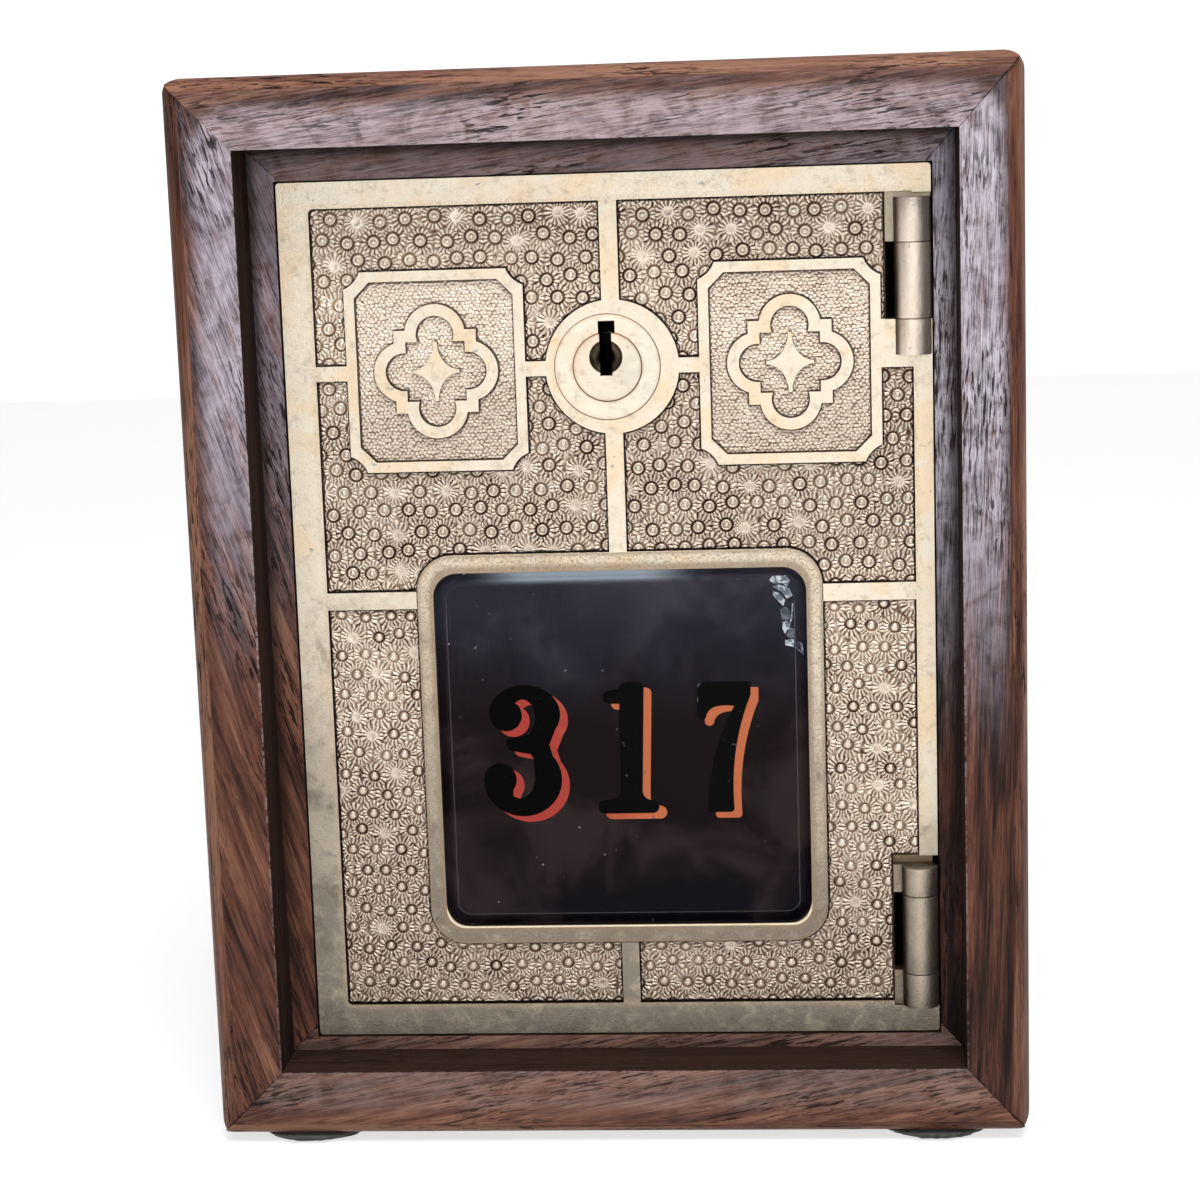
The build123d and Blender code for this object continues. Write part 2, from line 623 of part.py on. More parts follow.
def make_bolt():
    bar = BOLT_BAR_H / 2
    plate = span(-BOLT_HEEL, BOLT_TAIL, -BOLT_BELOW, BOLT_ABOVE)
    plate += span(BOLT_TIP, -BOLT_HEEL + 1, -bar, bar)
    lug_top = STUMP_Z + STUMP_LUG
    plate += span(STUMP_X - STUMP_R - STUMP_LUG, BOLT_TAIL, BOLT_ABOVE - 1, lug_top)
    # way for the plug's core, slot for the crank pin, fork for its post
    half = CORE_R + CRANK_PLAY
    plate -= span(-half, half + BOLT_THROW, -half, half)
    pin = CRANK_PIN_R + CRANK_PLAY
    plate -= span(CRANK_X - pin, CRANK_X + pin, -CRANK_R - pin, 0)
    fork = FORK_POST_R + CRANK_PLAY
    plate -= span(fork_post_x() - fork, BOLT_TAIL + 1, FORK_Z - fork, FORK_Z + fork)
    bolt = slab(plate, BOLT_FRONT, BOLT_BACK)
    stump_back = LEVER_FRONT + len(LEVER_LIFTS) * LEVER_SPACING
    bolt += rod(STUMP_R, BOLT_FRONT, stump_back, STUMP_X, STUMP_Z)
    tip = bolt.edges().filter_by(Axis.Z).sort_by(Axis.X)[:2]
    bolt = chamfer(tip, BOLT_CHAMFER)
    return on_lock(bolt)


def lever_gate(lift):
    """Path of the bolt's stump as the lever sees it while both move with the plug."""
    pivot = Vector(*LEVER_PIVOT)
    points = []
    for step in range(GATE_STEPS + 1):
        share = step / GATE_STEPS
        stump = Vector(STUMP_X - share * BOLT_THROW, STUMP_Z) - pivot
        points.append(pivot + stump.rotate(Axis.Z, -share * lift))
    line = Spline(*points)
    ends = Pos(*points[0]) * Circle(STUMP_R + GATE_PLAY)
    ends += Pos(*points[-1]) * Circle(STUMP_R + GATE_PLAY)
    return trace(line, 2 * (STUMP_R + GATE_PLAY)) + ends


def spring_strip():
    """A bent leaf that rises from the lever's back to the case's top wall."""
    top = LOCK_ABOVE - LOCK_WALL - SPRING_T / 2 - SPRING_GAP
    back = Vector(LEVER_PIVOT[0], LEVER_TOP)
    end = (LEVER_PIVOT[0] + SPRING_REACH, top)
    line = ThreePointArc(back + Vector(*SPRING_ROOT), back + Vector(*SPRING_BEND), end)
    return trace(line, SPRING_T)


def make_lever(number):
    lift = LEVER_LIFTS[number]
    blank = Pos(*LEVER_PIVOT) * Circle(LEVER_HUB_R)
    body = span(LEVER_PIVOT[0], LEVER_END, LEVER_BOTTOM, LEVER_TOP)
    body = fillet(body.vertices().sort_by(Axis.X)[-2:], LEVER_CORNER_R)
    blank += body - Circle(LEVER_BELLY_R)
    neck = LEVER_PIVOT[0] + LEVER_NECK
    blank -= span(LEVER_PIVOT[0] - 1, neck, 0, LEVER_PIVOT[1] - LEVER_HUB_R)
    blank -= Pos(*LEVER_PIVOT) * Circle(LEVER_POST_R + PLUG_GAP)
    blank -= lever_gate(lift) + spring_strip()
    front = LEVER_FRONT + number * LEVER_SPACING
    return on_lock(slab(blank, front, front + LEVER_T))


def make_lever_spring(number):
    front = LEVER_FRONT + number * LEVER_SPACING + (LEVER_T - SPRING_W) / 2
    return on_lock(slab(spring_strip(), front, front + SPRING_W))


def make_bolt_guide():
    reach = BOLT_BAR_H / 2 + GUIDE_WALL
    x0, x1 = guide_place() - GUIDE_L / 2, guide_place() + GUIDE_L / 2
    guide = slab(span(x0, x1, -reach, reach), DOOR_T, BOLT_BACK + GUIDE_CAP)
    guide = fillet(guide.edges().filter_by(Axis.X).sort_by(Axis.Y)[-2:], GUIDE_R)
    guide -= bolt_way(x0 - 1, x1 + 1)
    for x, z in guide_screw_places():
        guide -= rod(GUIDE_SCREW[0], DOOR_T - 1, BOLT_BACK + GUIDE_CAP + 1, x, z)
    return on_lock(guide)


def make_guide_screws():
    back = BOLT_BACK + GUIDE_CAP
    screw = pan_screw(GUIDE_SCREW, back - BLIND_FRONT - SCREW_SHORT)
    return [on_lock(Pos(x, back, z) * screw) for x, z in guide_screw_places()]


# ================================================================ case
def box_between(x, y0, y1, z):
    """A box of half-widths x and z about the case's middle, from y0 to y1."""
    return Pos(0, (y0 + y1) / 2, CASE_Z) * Box(2 * x, y1 - y0, 2 * z)


def case_ring():
    """The four boards as one ring, before the mitres part them."""
    front, back = -CASE_D / 2, CASE_D / 2
    ring = box_between(CASE_W / 2, front, back, CASE_H / 2)
    ring = fillet(ring.edges().filter_by(Axis.Y), CORNER_R)
    ring = fillet(ring.faces().sort_by(Axis.Y)[-1].edges(), REAR_EDGE_R)
    ledge = FACE_Y - LEDGE_AHEAD
    ring -= Pos(RIM_X, 0, 0) * box_between(RIM_HALF_W, front - 1, ledge, RIM_HALF_H)
    pocket = Rectangle(DOOR_W + 2 * DOOR_PLAY, DOOR_H + 2 * DOOR_PLAY)
    ring -= on_door(slab(pocket, -LEDGE_AHEAD - 1, FRAME_BACK))
    inner_w, inner_h = CASE_W / 2 - BOARD_T, CASE_H / 2 - BOARD_T
    ring -= box_between(inner_w, front, back + 1, inner_h)
    ring -= box_between(inner_w + BACK_REBATE, back - BACK_T, back + 1, inner_h + BACK_REBATE)
    for hole in frame_screws(radius_only=True):
        ring -= on_door(hole)
    for x, z in back_screw_places():
        length = 2 * BACK_SCREW_L
        ring -= Pos(x, back - BACK_T, z) * Rot(90, 0, 0) * Cylinder(BACK_SCREW[0], length)
    return ring


def part_by_mitres(ring):
    """The ring's four boards. The mitres run from the rim's inner corners to its outer ones."""
    low, high = CASE_H / 2 - 2 * BOARD_T, CASE_H / 2 + BOARD_T
    corners = []
    for z in (low, high):
        inward = (CASE_H / 2 - z) / RIM_END
        corners.append((inward * RIM_LEFT - CASE_W / 2, z))
        corners.append((CASE_W / 2 - inward * RIM_RIGHT, z))
    lower_left, lower_right, upper_left, upper_right = corners
    wedge = Polygon(lower_left, lower_right, upper_right, upper_left, align=None)
    wedge = slab(wedge, -CASE_D / 2 - 1, CASE_D / 2 + 1)
    above = Pos(0, 0, CASE_Z) * wedge
    below = Pos(0, 0, CASE_Z) * mirror(wedge, Plane.XY)
    left, right = (ring - above - below).solids().sort_by(Axis.X)
    return {"top": ring & above, "bottom": ring & below, "left": left, "right": right}


def roundover(name):
    """What is planed off a board's outer front edge, before the board is mitred."""
    upright_board = name in ("left", "right")
    radius = ROUNDOVER_SIDE if upright_board else ROUNDOVER_END
    across = CASE_W / 2 if upright_board else CASE_H / 2
    length = 2 * CASE_H
    edge = Pos(0, -CASE_D / 2, across) * Box(length, 2 * radius, 2 * radius)
    kept = Rot(0, 90, 0) * Cylinder(radius, length)
    kept = Pos(0, radius - CASE_D / 2, across - radius) * kept
    turn = {"top": 0, "right": 90, "bottom": 180, "left": -90}[name]
    return Pos(0, 0, CASE_Z) * Rot(0, turn, 0) * (edge - kept)


def make_boards():
    ring = case_ring()
    slot = SlotOverall(COIN_SLOT_L, COIN_SLOT_W)
    top_z = FOOT_T + CASE_H
    place = Plane((0, COIN_SLOT_BACK, top_z))
    ring -= extrude(place * slot, amount=-BOARD_T - 1)
    wide = SlotOverall(COIN_SLOT_L + 2 * COIN_SLOT_EASE, COIN_SLOT_W + 2 * COIN_SLOT_EASE)
    ring -= extrude(place * wide, amount=-COIN_SLOT_EASE, taper=45)
    boards = part_by_mitres(ring)
    return {name: board - roundover(name) for name, board in boards.items()}


def back_screw_places():
    x = CASE_W / 2 - BOARD_T + BACK_REBATE - BACK_SCREW_EDGE
    z = CASE_H / 2 - BOARD_T - BACK_SCREW_INSET
    return [(sx * x, CASE_Z + sz * z) for sx, sz in both_ends()]


def make_back_panel():
    half_w = CASE_W / 2 - BOARD_T + BACK_REBATE - BACK_PLAY
    half_h = CASE_H / 2 - BOARD_T + BACK_REBATE - BACK_PLAY
    panel = box_between(half_w, CASE_D / 2 - BACK_T, CASE_D / 2 - BACK_INSET, half_h)
    for x, z in back_screw_places():
        hole = Rot(90, 0, 0) * Cylinder(BACK_SCREW[0], 4 * BACK_T)
        panel -= Pos(x, CASE_D / 2, z) * hole
        sink = Rot(90, 0, 0) * Cylinder(BACK_SCREW[1] + BACK_PLAY, 2 * BACK_HEAD_SINK)
        panel -= Pos(x, CASE_D / 2 - BACK_INSET, z) * sink
    return panel


def make_back_screws():
    under_head = CASE_D / 2 - BACK_INSET - BACK_HEAD_SINK
    screw = pan_screw(BACK_SCREW, BACK_SCREW_L)
    return [Pos(x, under_head, z) * screw for x, z in back_screw_places()]


def make_feet():
    feet = []
    for sx in (-1, 1):
        for sy in (-1, 1):
            x = sx * (CASE_W / 2 - FOOT_INSET_X)
            y = sy * (CASE_D / 2 - FOOT_INSET_Y)
            pad = Pos(x, y, FOOT_T / 2) * Cylinder(FOOT_R, FOOT_T)
            feet.append(chamfer(pad.edges().sort_by(Axis.Z)[0], FOOT_EDGE))
    return feet


# ================================================================ nodes
def all_nodes():
    boards = make_boards()
    pins = make_hinge_pins()
    nodes = {
        "case_left_side": boards["left"],
        "case_right_side": boards["right"],
        "case_top": boards["top"],
        "case_bottom": boards["bottom"],
        "back_panel": make_back_panel(),
        "back_panel_screws": make_back_screws(),
        "feet_pads": make_feet(),
        "door_frame": on_door(make_door_frame()),
        "door_frame_screws": [on_door(s) for s in frame_screws()],
        "door": on_door(make_door()),
        "hinge_pin_upper": on_door(pins[0]),
        "hinge_pin_lower": on_door(pins[1]),
        "window_glass": on_door(make_glass()),
        "glass_retainer": on_door(make_retainer()),
        "glass_retainer_screws": [on_door(s) for s in make_retainer_screws()],
        "lock_case": on_door(make_lock_case()),
        "lock_cover": on_door(make_lock_cover()),
        "lock_cover_screws": [on_door(s) for s in make_cover_screws()],
        "lock_mounting_screws": [on_door(s) for s in make_lock_screws()],
        "lever_post": on_door(make_lever_post()),
        "key_plug": on_door(make_key_plug()),
        "bolt": on_door(make_bolt()),
        "bolt_guide": on_door(make_bolt_guide()),
        "bolt_guide_screws": [on_door(s) for s in make_guide_screws()],
    }
    for number in range(len(LEVER_LIFTS)):
        nodes[f"lever_{number + 1}"] = on_door(make_lever(number))
        nodes[f"lever_spring_{number + 1}"] = on_door(make_lever_spring(number))
    return nodes


os.makedirs("parts", exist_ok=True)
for name, shape in all_nodes().items():
    if isinstance(shape, list):
        shape = Compound(children=shape)
    export_step(shape, f"parts/{name}.step")
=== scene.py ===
from math import cos, pi, radians, sin

import bpy
import numpy as np
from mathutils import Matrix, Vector


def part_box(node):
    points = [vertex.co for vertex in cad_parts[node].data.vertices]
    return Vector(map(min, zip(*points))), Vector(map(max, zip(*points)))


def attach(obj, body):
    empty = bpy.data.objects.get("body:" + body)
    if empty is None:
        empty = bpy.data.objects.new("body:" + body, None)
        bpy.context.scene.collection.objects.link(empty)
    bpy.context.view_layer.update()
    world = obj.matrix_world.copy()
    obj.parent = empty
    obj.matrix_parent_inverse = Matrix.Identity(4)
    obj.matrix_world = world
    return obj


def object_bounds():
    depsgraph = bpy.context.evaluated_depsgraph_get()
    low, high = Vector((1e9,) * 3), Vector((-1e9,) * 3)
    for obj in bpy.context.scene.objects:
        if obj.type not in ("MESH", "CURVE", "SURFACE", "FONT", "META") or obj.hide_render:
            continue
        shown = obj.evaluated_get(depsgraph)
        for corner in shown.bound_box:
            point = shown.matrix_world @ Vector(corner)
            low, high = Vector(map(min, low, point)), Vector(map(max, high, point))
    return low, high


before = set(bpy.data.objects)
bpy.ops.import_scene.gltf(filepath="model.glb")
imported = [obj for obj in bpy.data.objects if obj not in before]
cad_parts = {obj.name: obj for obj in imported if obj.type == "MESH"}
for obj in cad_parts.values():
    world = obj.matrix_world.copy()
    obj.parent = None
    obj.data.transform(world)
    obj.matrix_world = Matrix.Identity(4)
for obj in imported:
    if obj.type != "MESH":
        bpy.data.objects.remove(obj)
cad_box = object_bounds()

# Dress of a brass post office box door in a walnut coin bank. Pieces are drawn in
# millimetres in the door frame: X right and Z up from the middle of the door's front
# face, depth W into the case. place() turns that into the row frame in metres.
MM = 0.001

# ------------------------------------------------------------ the door, as in the part's source
DOOR_W = 95.25
DOOR_H = 130.2
MARGIN_LEFT = 4.6
MARGIN_RIGHT = 2.75
MARGIN_TOP = 3.9
MARGIN_BOTTOM = 4.75
FIELD_DEPTH = 1.1
FIELD_R = 0.7
RIB_W = 2.6
LOCK_RIB_W = 2.2
MID_RIB_ABOVE_WINDOW = 6.7
CARTOUCHE_W = 26.5
CARTOUCHE_H = 29.65
CARTOUCHE_BORDER = 1.5
CARTOUCHE_DX = 26.05
CARTOUCHE_SCOOP_R = 4.1
CARTOUCHE_SCOOP_OUT = 1.4
CARTOUCHE_CHAMFER = 2.3
CARTOUCHE_DEPTH = 0.8
ORNAMENT_R = 4.5
ORNAMENT_REACH = 4.7
ORNAMENT_STRETCH = 0.7
ORNAMENT_BAND = 1.7
BARB_SQUARE = 12.2
STAR_X = 3.5
STAR_Z = 4.4
WINDOW_W = 55.7
WINDOW_H = 54.7
WINDOW_R = 3.6
WINDOW_FRAME_SIDE = 2.45
WINDOW_FRAME_END = 2.75
WINDOW_FRAME_R = 5.4
WINDOW_RISE = 17.15
WINDOW_SHIFT = -0.1
GLASS_BEVEL = 1.7
GLASS_GAP = 0.1
GLASS_BEVEL_H = 0.9
GLASS_FACE = 0.35  # depth of the glass's polished face
LOCK_DROP = 28.1
LOCK_SHIFT = -0.7
BOSS_R = 9.83
NOSE_R = 7.8
PLUG_R = 5.05
HINGE_X = 40.87  # inner side of the hinges' recesses
UPPER_HINGE_END = 27.4  # down from the door's top edge
UPPER_BLOCK_TOP = 22.18
LOWER_HINGE_END = 27.5  # up from the door's bottom edge

DESIGN_X = (MARGIN_LEFT - MARGIN_RIGHT) / 2
LOCK_X = DESIGN_X + LOCK_SHIFT
LOCK_Z = DOOR_H / 2 - LOCK_DROP
WINDOW_X = DESIGN_X + WINDOW_SHIFT
WINDOW_Z = -DOOR_H / 2 + WINDOW_RISE + WINDOW_H / 2
MID_RIB_Z = WINDOW_Z + WINDOW_H / 2 + WINDOW_FRAME_END - MID_RIB_ABOVE_WINDOW

door_low, door_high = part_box("door")
DOOR_X = (door_low[0] + door_high[0]) / 2 / MM
DOOR_Z = (door_low[2] + door_high[2]) / 2 / MM
case_low, case_high = cad_box
CASE_FRONT = case_low[1] / MM
STEP_D = 10.7  # from the case's front to the door's face
FACE_Y = CASE_FRONT + STEP_D
RIM_LEFT = 10.3
RIM_RIGHT = 9.4
RIM_END = 10.4
RIM_X = (RIM_LEFT - RIM_RIGHT) / 2
RIM_HALF_W = (case_high[0] - case_low[0]) / 2 / MM - (RIM_LEFT + RIM_RIGHT) / 2
RIM_HALF_H = 68.7
side_low, side_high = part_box("case_left_side")
CASE_MID_Z = (side_low[2] + side_high[2]) / 2 / MM
LOCK_AT = (DOOR_X + LOCK_X, DOOR_Z + LOCK_Z)  # X and Z in the row frame, in millimetres
WINDOW_AT = (DOOR_X + WINDOW_X, DOOR_Z + WINDOW_Z)


def place(x, w, z):
    """Door frame in millimetres to the row frame in metres; takes numbers or arrays."""
    return (DOOR_X + x) * MM, (FACE_Y + w) * MM, (DOOR_Z + z) * MM


def add_mesh(name, vertices, faces):
    """A new object in the scene, from points in metres."""
    mesh = bpy.data.meshes.new(name)
    mesh.from_pydata(vertices, [], faces)
    obj = bpy.data.objects.new(name, mesh)
    bpy.context.scene.collection.objects.link(obj)
    return obj


# ------------------------------------------------------------ node materials
class Paint:
    """One material's node tree. Coordinates are the row frame at rest, in millimetres."""

    def __init__(self, name):
        self.mat = bpy.data.materials.new(name)
        self.mat.use_nodes = True
        self.tree = self.mat.node_tree
        self.tree.nodes.clear()
        self.shader = self.add("BsdfPrincipled")
        self.add("OutputMaterial", {"Surface": self.shader.outputs[0]})
        metres = self.add("TexCoord").outputs["Object"]
        self.place = self.vector("MULTIPLY", metres, (1 / MM,) * 3)
        self.x, self.y, self.z = self.parts(self.place)

    def add(self, kind, inputs=(), **settings):
        """A new node with its settings made and some of its inputs filled."""
        node = self.tree.nodes.new("ShaderNode" + kind)
        for key, value in settings.items():
            setattr(node, key, value)
        for key, value in dict(inputs).items():
            self.set(node.inputs[key], value)
        return node

    def set(self, socket, value):
        if isinstance(value, bpy.types.NodeSocket):
            self.tree.links.new(value, socket)
        else:
            socket.default_value = value

    def shade(self, **sockets):
        """Sets the shader's sockets, named with _ for a space."""
        for key, value in sockets.items():
            self.set(self.shader.inputs[key.replace("_", " ")], value)

    def vector(self, operation, a, b):
        return self.add("VectorMath", {0: a, 1: b}, operation=operation).outputs["Vector"]

    def parts(self, vector):
        return self.add("SeparateXYZ", {0: vector}).outputs

    def along(self, direction):
        """Distance along a direction, in millimetres."""
        inputs = {0: self.place, 1: direction}
        return self.add("VectorMath", inputs, operation="DOT_PRODUCT").outputs["Value"]

    def facing(self, axis, low, high):
        """Eased from 0 to 1 as the surface's direction along an axis goes from low to high."""
        normal = self.add("TexCoord").outputs["Normal"]
        return self.step(self.parts(normal)[axis], low, high)

    def facing_front(self):
        """1 on surfaces that face forwards, 0 on those that turn away from the front."""
        return self.facing(1, -0.93, -0.995)

    def calc(self, operation, a, b=0.0, c=0.0):
        return self.add("Math", {0: a, 1: b, 2: c}, operation=operation).outputs[0]

    def plus(self, a, b):
        return self.calc("ADD", a, b)

    def minus(self, a, b):
        return self.calc("SUBTRACT", a, b)

    def times(self, value, *others):
        for other in others:
            value = self.calc("MULTIPLY", value, other)
        return value

    def most(self, value, *others):
        for other in others:
            value = self.calc("MAXIMUM", value, other)
        return value

    def absolute(self, value):
        return self.calc("ABSOLUTE", value)

    def off(self, value, middle):
        """How far value is from middle, on either side."""
        return self.absolute(self.minus(value, middle))

    def scaled(self, value, factor, base):
        """base plus value times factor."""
        return self.calc("MULTIPLY_ADD", value, factor, base)

    def stack(self, base, *terms):
        """base plus each term's value times its factor."""
        for value, factor in terms:
            base = self.scaled(value, factor, base)
        return base

    def step(self, value, low, high, to_low=0.0, to_high=1.0):
        """value eased from to_low at low to to_high at high."""
        inputs = {
            "Value": value, "From Min": low, "From Max": high, "To Min": to_low, "To Max": to_high,
        }
        return self.add("MapRange", inputs, interpolation_type="SMOOTHSTEP").outputs["Result"]

    def to_rectangle(self, middle, half, r=0.0):
        """Distance in X and Z from an upright rectangle with rounded corners."""
        past = []
        for value, centre, reach in zip((self.x, self.z), middle, half):
            past.append(self.minus(self.off(value, centre), reach - r))
        inside = self.calc("MINIMUM", self.most(*past), 0.0)
        square = [self.calc("POWER", self.most(value, 0.0), 2.0) for value in past]
        outside = self.calc("SQRT", self.plus(*square))
        return self.minus(self.plus(inside, outside), r)

    def from_lock(self):
        """Distances to the right of the lock's axis and above it, and the whole one squared."""
        away = [self.minus(self.x, LOCK_AT[0]), self.minus(self.z, LOCK_AT[1])]
        return *away, self.plus(*[self.times(value, value) for value in away])

    def noise(
        self, scale, detail=3.0, rough=0.5, stretch=(1, 1, 1), warp=0.0, at=(0, 0, 0), of=None
    ):
        """Noise with features of about 1 / scale millimetres, divided by stretch.

        detail is the number of finer layers and rough is their strength.
        """
        where = self.vector("MULTIPLY", self.place if of is None else of, stretch)
        where = self.vector("ADD", where, at)
        inputs = {
            "Vector": where, "Scale": scale, "Detail": detail, "Roughness": rough, "Distortion": warp,
        }
        return self.add("TexNoise", inputs).outputs["Fac"]

    def mix(self, share, a, b):
        a, b = [(*value, 1.0) if isinstance(value, tuple) else value for value in (a, b)]
        return self.add("Mix", {"Factor": share, 6: a, 7: b}, data_type="RGBA").outputs[2]

    def lay(self, share, colour):
        """Covers a share of the colour so far with another one."""
        self.colour = self.mix(share, self.colour, colour)

    def finish(self, roughness, relief):
        """Gives the shader the colour laid so far, with a roughness and a relief."""
        self.shade(Base_Color=self.colour, Roughness=roughness, Normal=relief)
        return self.mat

    def ramp(self, share, *stops):
        """Colours at positions along share."""
        node = self.add("ValToRGB", {0: share})
        elements = node.color_ramp.elements
        elements.remove(elements[1])
        for number, (at, colour) in enumerate(stops):
            element = elements[0] if number == 0 else elements.new(at)
            element.position, element.color = at, (*colour, 1.0)
        return node.outputs["Color"]

    def bump(self, height, distance, strength=1.0):
        """Relief of a given depth in millimetres."""
        inputs = {"Height": height, "Distance": distance * MM, "Strength": strength}
        return self.add("Bump", inputs).outputs[0]


def dress(obj, material):
    obj.data.materials.clear()
    obj.data.materials.append(material)


# ------------------------------------------------------------ walnut
WALNUT_DARK = (0.016, 0.007, 0.006)
WALNUT_BROWN = (0.078, 0.030, 0.020)
WALNUT_RED = (0.175, 0.068, 0.043)
WALNUT_TAN = (0.330, 0.158, 0.098)
WALNUT_RUBBED_HIGHLIGHT = (0.50, 0.42, 0.42)
PORE_COLOUR = (0.012, 0.006, 0.006)
WALL_SHADE = (0.012, 0.005, 0.004)
GAP_COLOUR = (0.006, 0.004, 0.003)
LEDGE_LIFT = 6.0  # depth behind the case's front at which the ledge counts as sunk
MITRE_GAP = 0.09


def walnut(name, along_x, seed, lean=0.0, tone=0.0, painted_sheen=None, faded=None):
    """Oiled walnut. The grain runs along X, or else along Z, and leans by some degrees.

    painted_sheen is the colour of a painted sheen, a pale reflection on the front faces,
    which grows between the two heights in faded. Boards without it have no mitres either.
    """
    p = Paint(name)
    at = (seed * 37.0, seed * 11.0, seed * 23.0)
    c, s = cos(radians(lean)), sin(radians(lean))
    leaning = ((c, 0, s), (-s, 0, c)) if along_x else ((s, 0, c), (c, 0, -s))
    straight = ((1, 0, 0), (0, 0, 1)) if along_x else ((0, 0, 1), (1, 0, 0))
    ahead = p.facing(1, -0.955, -0.965)
    board = p.add("CombineXYZ", {2: p.y})
    for socket, way, plain in zip(board.inputs, leaning, straight):
        # the grain leans on the front faces and runs straight along the sides
        sides = p.times(p.along(plain), p.minus(1.0, ahead))
        p.set(socket, p.plus(p.times(p.along(way), ahead), sides))

    def grain(along, across, **options):
        """Noise drawn out along the grain: features per millimetre along and across it."""
        stretch = (along, across, across)
        return p.noise(1.0, stretch=stretch, at=at, of=board.outputs[0], **options)

    figure = grain(0.012, 0.14, detail=4, rough=0.55, warp=1.2)
    streaks = grain(0.028, 0.60, detail=5, rough=0.66, warp=0.8)
    fibres = grain(0.14, 3.2, detail=3, rough=0.6, warp=0.3)
    hairs = grain(0.30, 7.0, detail=2, rough=0.6)
    pores = p.step(grain(0.26, 2.3, detail=2, rough=0.55, warp=0.5), 0.545, 0.61)
    fine_pores = p.step(grain(0.7, 4.8, detail=1, warp=0.3), 0.61, 0.68)
    clusters = p.step(grain(0.04, 0.12, detail=3), 0.40, 0.62, 0.20, 1.0)
    pores = p.times(p.most(pores, p.times(fine_pores, 0.6)), clusters)
    dull = p.times(pores, 0.8)
    shade = p.stack(p.times(figure, 0.62), (streaks, 0.62), (p.minus(fibres, 0.5), 0.34))
    shade = p.plus(shade, tone - 0.120)
    front = p.facing_front()
    if painted_sheen:
        # the flat outer sides are a little lighter than the front
        shade = p.plus(shade, p.scaled(front, -0.11, 0.11))
    p.colour = p.ramp(
        shade, (0.36, WALNUT_DARK), (0.46, WALNUT_BROWN), (0.56, WALNUT_RED), (0.70, WALNUT_TAN)
    )
    swell = p.noise(0.35, 3, at=at)
    height = p.stack(p.times(pores, -1.0), (fibres, 0.35), (hairs, 0.25), (swell, 0.8))
    if painted_sheen:
        opening = p.to_rectangle((RIM_X, CASE_MID_Z), (RIM_HALF_W, RIM_HALF_H))
        sunk = p.step(p.y, CASE_FRONT + LEDGE_LIFT, CASE_FRONT + LEDGE_LIFT + 1)
        # painted sheen: a pale reflection laid on the upper part of the front faces
        clouds = p.noise(0.22, 5, 0.65, warp=0.8, at=at)
        wisps = p.stack(p.times(hairs, 0.35), (fibres, 0.45), (clouds, 0.5))
        cover = p.times(front, p.step(p.z, *faded), p.step(wisps, 0.47, 0.78, 0.08, 1.0))
        # less of it near the round edge, and on the sunk ledge except at the right
        spared = p.times(sunk, p.scaled(p.step(p.x, 20.0, 45.0), 0.45, -0.45))
        cover = p.times(cover, p.step(opening, 7.2, 4.6, 0.15, 1.0), p.plus(spared, 1.0))
        p.lay(cover, painted_sheen)
    p.lay(p.times(pores, 0.92), PORE_COLOUR)
    if painted_sheen:
        ragged = p.noise(0.9, 5, 0.7, at=at)
        # painted shade darkens the walls between the rim and the ledge, and the ledge beside them
        inside = p.times(p.step(opening, 0.25, 0.05), p.minus(1.0, front))
        p.lay(p.times(inside, 0.90), WALL_SHADE)
        dull = p.most(dull, inside)
        # painted shadow on the ledge beside the walls, stronger higher up
        corner = p.times(sunk, p.step(opening, -1.9, -0.2), p.step(p.z, 20.0, 60.0, 0.25, 0.75))
        p.lay(corner, WALNUT_DARK)
        # the rim's inner arris is rubbed pale, with small crumbs broken out of it;
        # a painted highlight makes it paler towards the top
        worn = p.times(
            p.step(opening, 0.40, 0.1),
            p.step(opening, -0.1, 0.05),
            p.step(p.z, 20.0, 110.0, 0.25, 1.0),
            p.step(p.y, CASE_FRONT + 0.5, CASE_FRONT + 0.2),
            p.step(ragged, 0.46, 0.58, 0.0, 0.8),
        )
        p.lay(worn, WALNUT_RUBBED_HIGHLIGHT)
        # dark lines where the mitres meet, open in some places and tight in others
        side = p.step(p.x, -1.0, 1.0, RIM_LEFT, RIM_RIGHT)
        out_x = p.calc("DIVIDE", p.minus(p.off(p.x, RIM_X), RIM_HALF_W), side)
        out_z = p.times(p.minus(p.off(p.z, CASE_MID_Z), RIM_HALF_H), 1 / RIM_END)
        off = p.times(p.off(out_x, out_z), RIM_END / 2**0.5)
        off = p.scaled(p.minus(ragged, 0.5), -0.5, off)
        tight = p.times(p.step(p.x, 10.0, -10.0), p.step(p.z, 100.0, 130.0), p.minus(1.0, sunk))
        gap = p.times(p.step(off, MITRE_GAP, 0.0, 0.0, 0.85), p.scaled(tight, -0.75, 1.0))
        p.lay(gap, GAP_COLOUR)
        height = p.minus(height, p.times(gap, 2.0))
    p.shade(Specular_IOR_Level=0.15)
    return p.finish(p.most(p.step(streaks, 0.3, 0.7, 0.52, 0.42), dull), p.bump(height, 0.07, 0.9))


